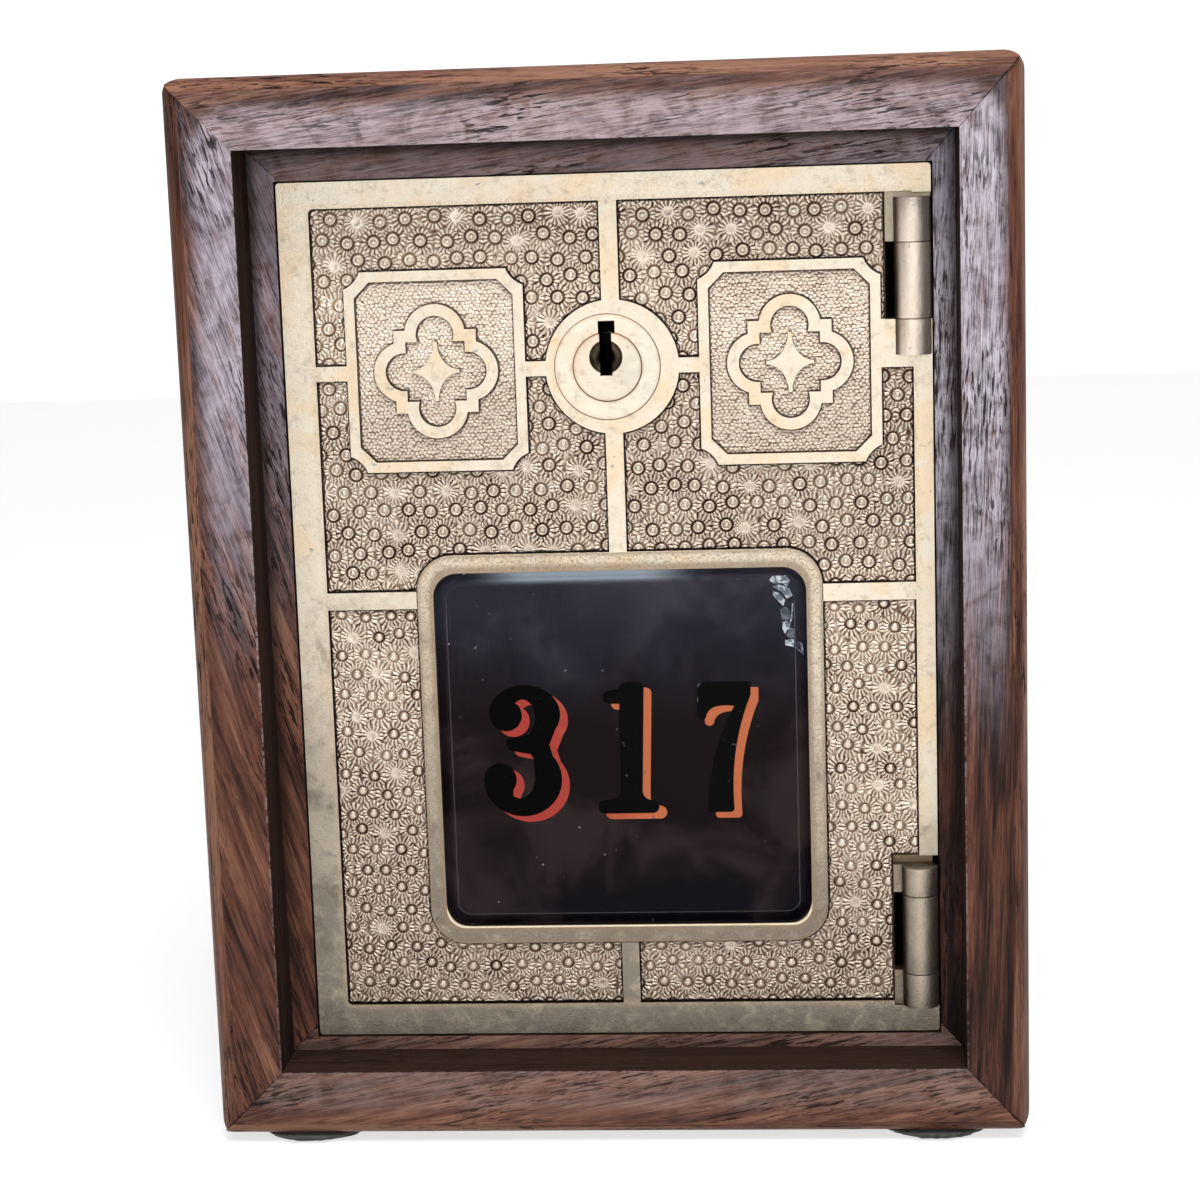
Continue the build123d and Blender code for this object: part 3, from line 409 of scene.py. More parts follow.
# ------------------------------------------------------------ brass
BRASS_PALE = (0.85, 0.75, 0.605)
BRASS_WARM = (0.88, 0.67, 0.44)
BRASS_MID = (0.58, 0.49, 0.39)
BRASS_LOW = (0.270, 0.235, 0.190)
BRASS_STAIN = (0.36, 0.26, 0.175)
BRASS_RUBBED = (0.50, 0.43, 0.32)
BRASS_GREY = (0.16, 0.135, 0.095)
BRASS_EDGE = (0.66, 0.49, 0.33)
BRASS_SPOT = (0.40, 0.39, 0.37)
BRASS_SPECK = (0.14, 0.095, 0.065)
BRASS_GRAIN = (0.95, 0.85, 0.72)
BRASS_GLINT = (1.0, 0.86, 0.62)
BARREL_HIGHLIGHT = (1.0, 0.86, 0.74)
FRAME_BROWN = (0.085, 0.060, 0.036)
HOLLOW_BROWN = (0.20, 0.14, 0.10)
BACK_BROWN = (0.24, 0.165, 0.095)
SLOT_SHADE = (0.003, 0.002, 0.002)
DEEP_SHADE_BLACK = (0.004, 0.003, 0.002)
PATINA_DARK = (0.030, 0.018, 0.012)
RELIEF_LINE = (0.060, 0.034, 0.024)
RELIEF_BROWN = (0.34, 0.235, 0.175)
RELIEF_PALE = (0.72, 0.585, 0.47)
RELIEF_TOP = (0.90, 0.78, 0.65)


def tarnish_and_shade(p):
    """Share of tarnish and painted shade: none at the door's top, most at its foot, in soft clouds.
    """
    low = p.step(p.z, DOOR_Z + 24, DOOR_Z - 66)
    right = p.step(p.x, DOOR_X + 18, DOOR_X + 46, 0.0, 0.42)
    right = p.times(right, p.step(p.z, DOOR_Z - 60, DOOR_Z - 25, 0.15, 1.0))
    clouds = p.minus(p.noise(0.07, 8, 0.70, warp=0.7), 0.5)
    return p.scaled(clouds, 1.05, p.minus(low, right))


def cast_brass(name, behind=False):
    """The door's face: satin where it was filed flat, dark down the walls of the recesses."""
    p = Paint(name)
    depth = p.minus(p.y, FACE_Y)
    stained_and_shaded = tarnish_and_shade(p)
    grain = p.noise(3.2, 4, 0.65)
    fine = p.noise(7.0, 3, 0.65)
    brushed = p.noise(1.0, stretch=(0.25, 1.0, 6.0), detail=3, rough=0.6)
    warm = p.noise(0.10, 5, 0.6, warp=0.8, at=(5, 9, 3))
    p.colour = p.mix(p.step(warm, 0.45, 0.62, 0.0, 0.70), BRASS_PALE, BRASS_WARM)
    p.lay(p.step(stained_and_shaded, 0.02, 0.50), BRASS_MID)
    p.lay(p.step(stained_and_shaded, 0.45, 0.92), BRASS_LOW)
    # golden and grey patches over the tarnish and painted shade
    rubbed = p.step(p.noise(0.30, 7, 0.72, warp=0.5), 0.46, 0.66)
    p.lay(p.times(rubbed, 0.75, p.step(stained_and_shaded, 0.1, 0.5)), BRASS_RUBBED)
    grey = p.step(p.noise(0.24, 7, 0.72, warp=0.5, at=(3, 70, 9)), 0.50, 0.68)
    p.lay(p.times(grey, 0.6, p.step(stained_and_shaded, 0.0, 0.4)), BRASS_GREY)
    mottle = p.noise(0.55, 6, 0.7, warp=0.4)
    p.lay(p.step(mottle, 0.50, 0.74, 0.0, 0.45), BRASS_STAIN)
    # warmer along the edges of the margins, and a few grey spots
    half = ((DOOR_W - MARGIN_LEFT - MARGIN_RIGHT) / 2, (DOOR_H - MARGIN_TOP - MARGIN_BOTTOM) / 2)
    middle = (DOOR_X + DESIGN_X, DOOR_Z + (MARGIN_BOTTOM - MARGIN_TOP) / 2)
    fringe = p.step(p.absolute(p.to_rectangle(middle, half, FIELD_R)), 1.1, 0.1, 0.0, 0.5)
    p.lay(p.times(fringe, p.step(depth, 0.5, 0.2), p.step(grain, 0.35, 0.6)), BRASS_EDGE)
    spots = p.noise(0.42, 4, 0.55, warp=0.5, at=(40, 2, 8))
    p.lay(p.step(spots, 0.70, 0.73, 0.0, 0.8), BRASS_SPOT)
    # the window's raised frame and the hinges' barrels are coarser than the filed ribs
    reach = (WINDOW_W / 2 + WINDOW_FRAME_SIDE, WINDOW_H / 2 + WINDOW_FRAME_END)
    from_frame = p.to_rectangle(WINDOW_AT, reach, WINDOW_FRAME_R)
    around = p.times(p.step(from_frame, 0.1, -0.1), p.step(depth, 0.9, 0.7))
    recess = DOOR_X + HINGE_X
    barrel = p.step(p.x, recess + 0.9, recess + 1.4)
    coarse = p.step(p.noise(2.4, 4, 0.7), 0.46, 0.66, 0.0, 0.75)
    rough_cast = p.most(around, p.times(barrel, p.step(depth, -0.2, -0.5, 0.0, 0.45)))
    p.lay(p.times(rough_cast, coarse), BRASS_STAIN)
    # the window's frame is stained and darkened by painted shade along both edges,
    # and a painted highlight lies on its inner arris at the foot
    inner = p.step(from_frame, -1.3, -2.2, 0.0, 0.75)
    outer = p.step(from_frame, -0.8, -0.1, 0.0, 0.6)
    p.lay(p.times(around, p.plus(inner, outer)), BRASS_STAIN)
    glint = p.step(p.absolute(p.plus(from_frame, 2.62)), 0.26, 0.08)
    foot = p.step(p.z, WINDOW_AT[1] - 15, WINDOW_AT[1] - 26)
    p.lay(p.times(around, glint, foot), BRASS_GLINT)
    # a painted highlight makes the barrels lighter, the upper one most
    bright = p.times(barrel, p.step(depth, -0.2, -0.5))
    p.lay(p.times(bright, p.step(p.z, DOOR_Z - 30, DOOR_Z + 30, 0.15, 0.80)), BARREL_HIGHLIGHT)
    p.lay(p.step(fine, 0.55, 0.75, 0.0, 0.35), BRASS_GRAIN)
    specks = p.noise(1.5, 4, 0.7)
    p.lay(p.step(specks, 0.64, 0.74, 0.0, 0.7), BRASS_SPECK)
    black = 0.0
    if behind:
        # the frame is dull except for its barrels, and painted shade makes the slots beside them
        # black
        shown = p.times(barrel, p.step(depth, 1.6, 0.8))
        p.lay(p.scaled(shown, -0.8, 0.8), FRAME_BROWN)
        black = p.step(p.x, recess - 1.5, recess - 0.9)
        black = p.times(p.minus(black, p.times(black, shown)), 0.97)
        p.lay(black, SLOT_SHADE)
    else:
        wall = p.times(p.step(depth, 0.03, 0.22), p.step(depth, 1.09, 0.99))
        wall = p.times(wall, p.minus(1.0, p.facing_front()), p.step(barrel, 0.0, 1.0, 0.95, 0.35))
        p.lay(wall, PATINA_DARK)
        hollow = p.times(p.step(depth, 0.5, 0.9), p.step(p.x, DOOR_X + 38, DOOR_X + 39), 0.6)
        p.lay(hollow, HOLLOW_BROWN)
        # the back was never polished
        p.lay(p.step(depth, 1.3, 2.0, 0.0, 0.72), BACK_BROWN)
    # painted shade where the barrels turn in towards the door
    p.lay(p.times(p.facing(0, -0.62, -0.92), barrel, 0.9), PATINA_DARK)
    height = p.stack(grain, (fine, 0.5), (brushed, 0.30), (p.noise(0.7, 3), 0.9))
    height = p.times(height, p.scaled(rough_cast, 1.8, 1.0))
    p.shade(Metallic=1.0)
    return p.finish(p.most(p.step(grain, 0.3, 0.7, 0.40, 0.54), black), p.bump(height, 0.05, 0.9))


def relief_brass(name, ground, top):
    """Patinated relief, dark at the depth ground and bright at the depth top."""
    p = Paint(name)
    depth = p.minus(p.y, FACE_Y)
    rise = p.calc("DIVIDE", p.minus(ground, depth), ground - top)
    clouds = p.times(p.minus(p.noise(0.14, 5, 0.6), 0.5), 0.40)
    grit = p.times(p.minus(p.noise(3.5, 4, 0.65), 0.5), 0.35)
    rise = p.plus(rise, p.plus(clouds, grit))
    # a painted highlight makes it brightest in the upper left
    bright = p.times(p.step(p.x, DOOR_X, DOOR_X - 40), p.step(p.z, DOOR_Z, DOOR_Z + 50))
    rise = p.scaled(bright, 0.12, rise)
    p.colour = p.ramp(
        rise, (0.10, RELIEF_LINE), (0.30, RELIEF_BROWN), (0.54, RELIEF_PALE), (0.88, RELIEF_TOP)
    )
    # darker in a band between the lock and the window,
    # and towards the foot with the tarnish and painted shade
    off = p.off(p.z, LOCK_AT[1] - 16)
    dull = p.most(p.step(tarnish_and_shade(p), 0.0, 1.0, 0.0, 0.50), p.step(off, 20.0, 8.0, 0.0, 0.30))
    p.lay(dull, p.vector("MULTIPLY", p.colour, (0.47, 0.44, 0.42)))
    p.shade(Metallic=1.0)
    roughness = p.step(rise, 0.1, 0.9, 0.62, 0.44)
    return p.finish(roughness, p.bump(p.noise(6.0, 3, 0.6), 0.03, 0.6))


def lock_brass(name, seams, tone):
    """Pale brushed brass with thin dark seams at some radii from the lock's axis."""
    p = Paint(name)
    across, up, square = p.from_lock()
    radius = p.calc("SQRT", square)
    brushed = p.noise(1.0, stretch=(0.5, 1.0, 5.0), detail=4, rough=0.62)
    spots = p.noise(0.55, 6, 0.7, warp=0.3)
    hues = p.noise(0.16, 5, 0.6, warp=0.8)
    p.colour = p.mix(p.step(hues, 0.52, 0.66, 0.0, 0.8), BRASS_PALE, (0.88, 0.68, 0.52))
    p.lay(p.step(hues, 0.48, 0.36, 0.0, 0.8), (0.70, 0.66, 0.54))
    p.lay(p.step(brushed, 0.35, 0.70, 0.0, 0.45), tone)
    p.lay(p.step(spots, 0.52, 0.72, 0.0, 0.45), BRASS_STAIN)
    pits = p.noise(1.3, 3, 0.7)
    p.lay(p.step(pits, 0.66, 0.74, 0.0, 0.8), (0.14, 0.10, 0.07))
    # brown to the upper left, black to the right
    turned = p.step(p.minus(across, up), -6.0, 6.0)
    rust = p.mix(turned, (0.36, 0.17, 0.07), PATINA_DARK)
    for seam in seams:
        off = p.off(radius, seam)
        p.lay(p.step(off, 0.55, 0.1, 0.0, 0.35), (0.52, 0.34, 0.20))
        p.lay(p.step(off, 0.14, 0.05, 0.0, 0.9), rust)
    # the dimple and the keyway are brown, with painted shade that leaves them lighter to the lower
    # right
    depth = p.minus(p.y, FACE_Y)
    keyway_dark = p.mix(p.step(across, -1.0, 2.0), (0.045, 0.030, 0.016), (0.17, 0.12, 0.075))
    keyway_dark = p.mix(p.step(p.noise(1.6, 4, 0.7), 0.40, 0.62), keyway_dark, (0.11, 0.080, 0.045))
    p.lay(p.step(depth, 0.03, 0.14, 0.0, 0.95), keyway_dark)
    # painted shade makes everything deeper than the dimple black
    p.lay(p.step(depth, 0.75, 1.1), DEEP_SHADE_BLACK)
    p.shade(Metallic=1.0)
    roughness = p.step(spots, 0.3, 0.7, 0.36, 0.48)
    return p.finish(roughness, p.bump(p.scaled(brushed, 0.5, p.noise(5.0, 3)), 0.02, 0.6))


def plain_metal(name, colour, dark, rough, scale=0.8):
    """Worn metal with stains of a darker shade, black with painted shade round the lock's keyway."""
    p = Paint(name)
    stains = p.noise(scale * 0.35, 6, 0.62, warp=0.6)
    scratch = p.noise(1.0, stretch=(0.6, 2.0, 7.0), detail=3, rough=0.6)
    p.colour = p.mix(p.step(stains, 0.38, 0.80, 0.0, 0.5), colour, dark)
    # painted shade: black on the parts round the lock's keyway
    keyway_dark = p.times(p.step(p.from_lock()[2], 60.0, 40.0), p.step(p.y, FACE_Y + 13.9, FACE_Y + 13.6))
    p.lay(keyway_dark, DEEP_SHADE_BLACK)
    p.shade(Metallic=1.0)
    roughness = p.step(stains, 0.3, 0.7, rough - 0.06, rough + 0.14)
    return p.finish(roughness, p.bump(p.scaled(scratch, 0.5, p.noise(6.0, 3)), 0.02, 0.6))


# ------------------------------------------------------------ distances on the door's face
def to_box(x, z, x0, x1, z0, z1, r=0.0):
    """Distance from a rectangle with rounded corners, negative inside it."""
    dx = np.abs(x - (x0 + x1) / 2) - (x1 - x0) / 2 + r
    dz = np.abs(z - (z0 + z1) / 2) - (z1 - z0) / 2 + r
    outside = np.hypot(np.maximum(dx, 0), np.maximum(dz, 0))
    return outside + np.minimum(np.maximum(dx, dz), 0) - r


def to_plate(x, z, half_w, half_h, r=0.0):
    """Distance from a rectangle round the zero point."""
    return to_box(x, z, -half_w, half_w, -half_h, half_h, r)


def quarter(x, z, side):
    """Distances from the middle lines of the left (-1) or right (1) cartouche."""
    return np.abs(x - DESIGN_X - side * CARTOUCHE_DX), np.abs(z - LOCK_Z)


def to_cartouche(x, z, side):
    """Distance from a cartouche's outer outline with its hollow corners."""
    x, z = quarter(x, z, side)
    half_w, half_h = CARTOUCHE_W / 2, CARTOUCHE_H / 2
    out = CARTOUCHE_SCOOP_OUT
    scoop = CARTOUCHE_SCOOP_R - np.hypot(x - half_w - out, z - half_h - out)
    return np.maximum(to_plate(x, z, half_w, half_h), scoop)


def to_cartouche_ground(x, z, side):
    """Distance from the sunk ground inside a cartouche's border."""
    x, z = quarter(x, z, side)
    half_w, half_h = CARTOUCHE_W / 2 - CARTOUCHE_BORDER, CARTOUCHE_H / 2 - CARTOUCHE_BORDER
    cut = (x - half_w + z - half_h + CARTOUCHE_CHAMFER) / 2**0.5
    return np.maximum(to_plate(x, z, half_w, half_h), cut)


def to_foil(x, z, inset):
    """Distance from a quatrefoil with a square behind its lobes, drawn in by inset."""
    half = BARB_SQUARE / 2 - inset
    foil = to_plate(x, z, half, half)
    lift = ORNAMENT_REACH + ORNAMENT_STRETCH
    for cx, cz in ((ORNAMENT_REACH, 0), (-ORNAMENT_REACH, 0), (0, lift), (0, -lift)):
        foil = np.minimum(foil, np.hypot(x - cx, z - cz) - ORNAMENT_R + inset)
    return foil


def to_ornament(x, z, side):
    """Distance from the raised quatrefoil band and the star inside it."""
    x, z = quarter(x, z, side)
    band = np.maximum(to_foil(x, z, 0), -to_foil(x, z, ORNAMENT_BAND))
    hollow = 1 - np.hypot((x - STAR_X) / STAR_X, (z - STAR_Z) / STAR_Z)
    star = np.maximum(to_plate(x, z, STAR_X, STAR_Z), hollow * STAR_X)
    return np.minimum(band, star)


def inside_fields(x, z):
    """How far a point lies inside the sunk fields: negative on margins, ribs and plates."""
    left, right = -DOOR_W / 2 + MARGIN_LEFT, DOOR_W / 2 - MARGIN_RIGHT
    bottom, top = -DOOR_H / 2 + MARGIN_BOTTOM, DOOR_H / 2 - MARGIN_TOP
    inside = -to_box(x, z, left, right, bottom, top, FIELD_R)
    frame_w, frame_h = WINDOW_W / 2 + WINDOW_FRAME_SIDE, WINDOW_H / 2 + WINDOW_FRAME_END
    beside = DESIGN_X + CARTOUCHE_DX + CARTOUCHE_W / 2 - CARTOUCHE_BORDER
    shapes = [
        np.hypot(x - DESIGN_X, z - LOCK_Z) - BOSS_R,
        np.abs(x - DESIGN_X) - RIB_W / 2,
        np.abs(z - LOCK_Z) - LOCK_RIB_W / 2,
        np.abs(z - MID_RIB_Z) - RIB_W / 2,
        to_plate(x - WINDOW_X, z - WINDOW_Z, frame_w, frame_h, WINDOW_FRAME_R),
        to_cartouche(x, z, -1),
        to_cartouche(x, z, 1),
        # the block beside the right cartouche and the hinges' recesses
        to_box(x, z, beside, DOOR_W, LOCK_Z, DOOR_H / 2 - UPPER_BLOCK_TOP),
        to_box(x, z, HINGE_X, DOOR_W, DOOR_H / 2 - UPPER_HINGE_END, DOOR_H),
        to_box(x, z, HINGE_X, DOOR_W, -DOOR_H, -DOOR_H / 2 + LOWER_HINGE_END),
    ]
    for shape in shapes:
        inside = np.minimum(inside, shape)
    return inside


def smooth(value, low, high):
    """value eased from 0 at low to 1 at high."""
    share = np.clip((value - low) / (high - low), 0, 1)
    return share * share * (3 - 2 * share)


# ------------------------------------------------------------ cast relief
GRID = 0.12  # spacing of the relief's points
UNDER = 0.22  # how far the relief runs on under the ribs
BATCH = 20000  # points whose nearest centres are sought at a time
DAISY_PITCH = 3.65
DAISY_ROW = 3.05
DAISY_JITTER = 0.50
PETAL_REACH = 1.95
PETAL_RISE = 0.50
GROOVE_DEPTH = 0.44  # between two petals
# radii of the button and the moat, heights of the moat's floor, the button's edge and its dome
RINGED_DAISY = (0.40, 0.96, 0.03, 0.30, 0.28)
PLAIN_DAISY = (0.66, 0.78, 0.10, 0.20, 0.30)
RING_R = 0.65
MEAN_RISE = 0.42  # a daisy's depth varies about this height
WORN_DAISIES = 0.12  # share of daisies that have lost their button
PEBBLE_PITCH = 0.64
PEBBLE_ROW = 0.50
PEBBLE_JITTER = 0.15
PEBBLE_RISE = 0.15
PEBBLE_SLOPE = 0.44


def uneven(x, z, pitch, seed):
    """Smooth random values from -1 to 1, with features of about pitch millimetres."""
    size = 97
    table = np.random.RandomState(seed).uniform(-1, 1, (size, size))
    i, j = np.floor(x / pitch).astype(int), np.floor(z / pitch).astype(int)
    a, b = smooth(x / pitch - i, 0, 1), smooth(z / pitch - j, 0, 1)
    i, j, i1, j1 = i % size, j % size, (i + 1) % size, (j + 1) % size
    low = table[i, j] * (1 - a) + table[i1, j] * a
    high = table[i, j1] * (1 - a) + table[i1, j1] * a
    return low * (1 - b) + high * b


def scattered(x0, x1, z0, z1, pitch, row, jitter, seed):
    """Points on a staggered lattice, each moved a little at random."""
    rng = np.random.RandomState(seed)
    rows = int((z1 - z0) / row) + 3
    columns = int((x1 - x0) / pitch) + 3
    i, j = np.meshgrid(np.arange(rows), np.arange(columns), indexing="ij")
    x = x0 - pitch + (j + 0.5 * (i % 2)) * pitch
    z = z0 - row + i * row
    x = x + rng.uniform(-jitter, jitter, x.shape)
    z = z + rng.uniform(-jitter, jitter, z.shape)
    return np.stack([x.ravel(), z.ravel()], 1)


def nearest_two(x, z, centres):
    """Index of the nearest centre, the way from it, and the distance to its cell's edge."""
    index = np.empty(len(x), int)
    edge = np.empty(len(x))
    for start in range(0, len(x), BATCH):
        part = slice(start, start + BATCH)
        dx = x[part, None] - centres[None, :, 0]
        dz = z[part, None] - centres[None, :, 1]
        squared = dx * dx + dz * dz
        order = np.argpartition(squared, 1, axis=1)[:, :2]
        rows = np.arange(len(squared))
        a, b = squared[rows, order[:, 0]], squared[rows, order[:, 1]]
        swap = a > b
        order[swap] = order[swap][:, ::-1]
        first, second = order[:, 0], order[:, 1]
        apart = np.hypot(*(centres[first] - centres[second]).T)
        index[part] = first
        edge[part] = np.abs(a - b) / (2 * apart)
    offset = np.stack([x, z], 1) - centres[index]
    return index, offset, edge


def daisies(x, z, seed, ringed):
    """Height of stamped daisies: a button, a moat round it, and petals parted by grooves."""
    span = (x.min(), x.max(), z.min(), z.max())
    centres = scattered(*span, DAISY_PITCH, DAISY_ROW, DAISY_JITTER, seed)
    rng = np.random.RandomState(seed + 1)
    petals = rng.randint(15, 20, len(centres))
    turn = rng.uniform(0, pi, len(centres))
    depth = rng.uniform(0.7, 1.1, len(centres))
    whole = rng.uniform(0, 1, len(centres)) > WORN_DAISIES
    index, offset, edge = nearest_two(x, z, centres)
    r = np.hypot(offset[:, 0], offset[:, 1])
    angle = np.arctan2(offset[:, 1], offset[:, 0]) + 0.10 * uneven(x, z, 0.6, seed)
    wave = np.abs(np.sin(petals[index] * angle / 2 + turn[index]))
    tips = smooth(r, PETAL_REACH + 0.30, PETAL_REACH - 0.15)
    ground = 0.28 + 0.16 * uneven(x, z, 0.42, seed + 3)
    petal = PETAL_RISE - GROOVE_DEPTH * smooth(wave, 0.66, 0.16) * smooth(r, 0.55, 1.05)
    height = ground + (petal - ground) * tips
    height = height - 0.10 * smooth(edge, 0.14, 0.0)
    button_r, moat_r, floor, rise, dome = RINGED_DAISY if ringed else PLAIN_DAISY
    button = rise + dome * np.sqrt(np.maximum(0, 1 - (r / button_r) ** 2))
    if ringed:
        ring = 0.22 + 0.30 * smooth(np.abs(r - RING_R), 0.22, 0.06)
        button = np.where(r < button_r, button, ring)
    moat = smooth(np.abs(r - moat_r), 0.21, 0.06)
    flower = np.where(r < moat_r - 0.06, button, height) * (1 - moat) + floor * moat
    worn = height - 0.16 * smooth(r, 0.9, 0.1)
    height = np.where(whole[index], flower, worn)
    height = MEAN_RISE + (height - MEAN_RISE) * depth[index]
    return height + 0.05 * uneven(x, z, 0.8, seed + 2)


def pebbles(x, z, seed):
    """Height of small scales above the ground, each highest at its lower edge."""
    span = (x.min(), x.max(), z.min(), z.max())
    centres = scattered(*span, PEBBLE_PITCH, PEBBLE_ROW, PEBBLE_JITTER, seed)
    index, offset, edge = nearest_two(x, z, centres)
    r = np.hypot(offset[:, 0], offset[:, 1])
    dome = PEBBLE_RISE + 0.05 * smooth(r, 0.36, 0.08) - PEBBLE_SLOPE * offset[:, 1]
    dome = dome - 0.05 * smooth(edge, 0.08, 0.0)
    return dome + 0.03 * uneven(x, z, 1.1, seed + 1)


def relief_piece(name, region, inside, height, ground, seed):
    """A sheet of relief over the part of region that lies inside, as one mesh on the door."""
    x0, x1, z0, z1 = region
    columns, rows = int((x1 - x0) / GRID) + 1, int((z1 - z0) / GRID) + 1
    grid_x, grid_z = np.meshgrid(x0 + GRID * np.arange(columns), z0 + GRID * np.arange(rows))
    depth_in = inside(grid_x, grid_z)
    keep = depth_in > -UNDER
    cells = keep[:-1, :-1] & keep[1:, :-1] & keep[:-1, 1:] & keep[1:, 1:]
    used = np.zeros_like(keep)
    for di, dj in ((0, 0), (0, 1), (1, 0), (1, 1)):
        used[di : rows - 1 + di, dj : columns - 1 + dj] |= cells
    number = np.full(keep.shape, -1)
    number[used] = np.arange(used.sum())
    x, z = grid_x[used], grid_z[used]
    rise = height(x, z, seed) * smooth(depth_in[used], 0.0, 0.30)
    rise = np.maximum(rise, 0.05)
    vertices = np.stack(place(x, ground - rise, z), 1)
    i, j = np.nonzero(cells)
    faces = np.stack([number[i, j], number[i, j + 1], number[i + 1, j + 1], number[i + 1, j]], 1)
    obj = add_mesh(name, vertices.tolist(), faces.tolist())
    obj.data.shade_smooth()
    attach(obj, "door")
    return obj


FIELD_EDGE = 0.6  # the grids reach this far past the fields
field_left = -DOOR_W / 2 + MARGIN_LEFT - FIELD_EDGE
field_right = DOOR_W / 2 - MARGIN_RIGHT + FIELD_EDGE
field_bottom = -DOOR_H / 2 + MARGIN_BOTTOM - FIELD_EDGE
field_top = DOOR_H / 2 - MARGIN_TOP + FIELD_EDGE
bands = {"top": (LOCK_Z, field_top), "middle": (MID_RIB_Z, LOCK_Z), "foot": (field_bottom, MID_RIB_Z)}
daisy_brass = relief_brass("daisy_brass", FIELD_DEPTH, 0.50)
for row, (band, (z0, z1)) in enumerate(bands.items()):

    def flowers(x, z, seed):
        return daisies(x, z, seed, band != "foot")

    for side, x0, x1 in (("left", field_left, DESIGN_X), ("right", DESIGN_X, field_right)):
        seed = 10 + 4 * row + (side == "right") * 2
        name = f"daisies_{band}_{side}"
        piece = relief_piece(name, (x0, x1, z0, z1), inside_fields, flowers, FIELD_DEPTH, seed)
        dress(piece, daisy_brass)

pebble_brass = relief_brass("pebble_brass", CARTOUCHE_DEPTH, 0.53)
for side, name in ((-1, "pebbled_ground_left"), (1, "pebbled_ground_right")):

    def on_ground(x, z):
        ground = -to_cartouche_ground(x, z, side)
        beside = np.minimum(ground, np.maximum(to_ornament(x, z, side), 0))
        return np.where(ground > 0, beside, ground)

    middle = DESIGN_X + side * CARTOUCHE_DX
    region = (
        middle - CARTOUCHE_W / 2, middle + CARTOUCHE_W / 2,
        LOCK_Z - CARTOUCHE_H / 2, LOCK_Z + CARTOUCHE_H / 2,
    )
    piece = relief_piece(name, region, on_ground, pebbles, CARTOUCHE_DEPTH, 40 + side)
    dress(piece, pebble_brass)

# ------------------------------------------------------------ glass
GLASS_HAZE = (0.17, 0.105, 0.10)
GLASS_ARRIS = (0.50, 0.45, 0.45)
GLASS_STRIP = (0.75, 0.88, 1.0)
GLASS_SCRATCH = (0.40, 0.38, 0.46)
GLASS_DUST = (0.9, 0.9, 0.95)


def window_glass():
    """Dark bevelled glass: blue above, brown below, hazy, scratched and dusty."""
    p = Paint("window_glass")
    up = p.minus(p.z, WINDOW_AT[1])
    across = p.minus(p.x, WINDOW_AT[0])
    clouds = p.noise(0.09, 6, 0.62, warp=0.5)
    height = p.scaled(p.minus(clouds, 0.5), 22.0, up)
    # a painted reflection makes the glass blue above; it is brown below
    p.colour = p.ramp(
        p.step(height, -30.0, 30.0),
        (0.0, (0.022, 0.018, 0.034)),
        (0.22, (0.040, 0.022, 0.026)),
        (0.60, (0.048, 0.026, 0.030)),
        (0.80, (0.074, 0.064, 0.094)),
        (1.0, (0.122, 0.126, 0.178)),
    )
    haze = p.noise(0.055, 5, 0.6, warp=0.6, at=(7, 3, 31))
    haze = p.step(haze, 0.46, 0.64, 0.0, 0.30)
    p.lay(haze, GLASS_HAZE)
    # the arris between the face and its bevel catches light, mostly above
    inset = GLASS_GAP + GLASS_BEVEL
    half = (WINDOW_W / 2 - inset, WINDOW_H / 2 - inset)
    arris = p.absolute(p.to_rectangle(WINDOW_AT, half, WINDOW_R - GLASS_BEVEL))
    upper = p.step(up, 20.0, 25.5)
    line = p.times(p.step(arris, 0.14, 0.03), p.scaled(upper, -0.25, 0.30))
    p.lay(line, GLASS_ARRIS)
    # a painted reflection: a bright strip along the upper bevel
    outer = p.absolute(p.to_rectangle(WINDOW_AT, [reach + GLASS_BEVEL for reach in half]))
    strip = p.step(p.absolute(p.plus(across, 5.0)), 19.0, 8.0)
    strip = p.times(strip, p.step(up, 24.8, 26.2), p.step(outer, 2.4, 0.2))
    p.lay(strip, GLASS_STRIP)
    # fine scratches two ways, and dust
    level = p.noise(1.0, stretch=(0.4, 1, 8.0), detail=3, rough=0.7)
    upright = p.noise(1.0, stretch=(6.0, 1, 0.5), detail=3, rough=0.7)
    scratches = p.plus(p.step(level, 0.58, 0.72, 0.0, 0.20), p.step(upright, 0.60, 0.74, 0.0, 0.16))
    scratches = p.times(scratches, p.step(up, -10.0, 24.0, 0.2, 1.25))
    p.lay(scratches, GLASS_SCRATCH)
    dust = p.times(p.step(p.noise(0.9, 3, 0.6), 0.735, 0.76), 0.7)
    p.lay(dust, GLASS_DUST)
    marks = p.most(strip, line, scratches, dust, p.times(haze, 0.9))
    p.shade(Base_Color=p.colour, Roughness=p.step(clouds, 0.4, 0.8, 0.05, 0.16))
    p.shade(Transmission_Weight=p.scaled(marks, -0.80, 0.80))
    p.shade(IOR=1.13)
    return p.mat


# ------------------------------------------------------------ finishes of the CAD nodes
materials = {
    "case_top": walnut("walnut_top", True, 1, 7, 0.02, (0.60, 0.47, 0.50), (60, 150)),
    "case_bottom": walnut("walnut_bottom", True, 2, 11, 0.055, (0.42, 0.30, 0.27), (-40, 60)),
    "case_left_side": walnut("walnut_left", False, 3, -17, 0.01, (0.66, 0.57, 0.66), (66, 124)),
    "case_right_side": walnut("walnut_right", False, 4, 2, -0.035, (0.75, 0.68, 0.77), (54, 112)),
    "back_panel": walnut("walnut_back", False, 5),
    "door": cast_brass("door_brass"),
    "door_frame": cast_brass("frame_brass", behind=True),
    "lock_case": lock_brass("nose_brass", (NOSE_R, PLUG_R), (0.66, 0.57, 0.46)),
    "key_plug": lock_brass("plug_brass", (PLUG_R,), (0.72, 0.60, 0.46)),
}
steel = plain_metal("dull_steel", (0.38, 0.37, 0.35), (0.16, 0.14, 0.12), 0.38)
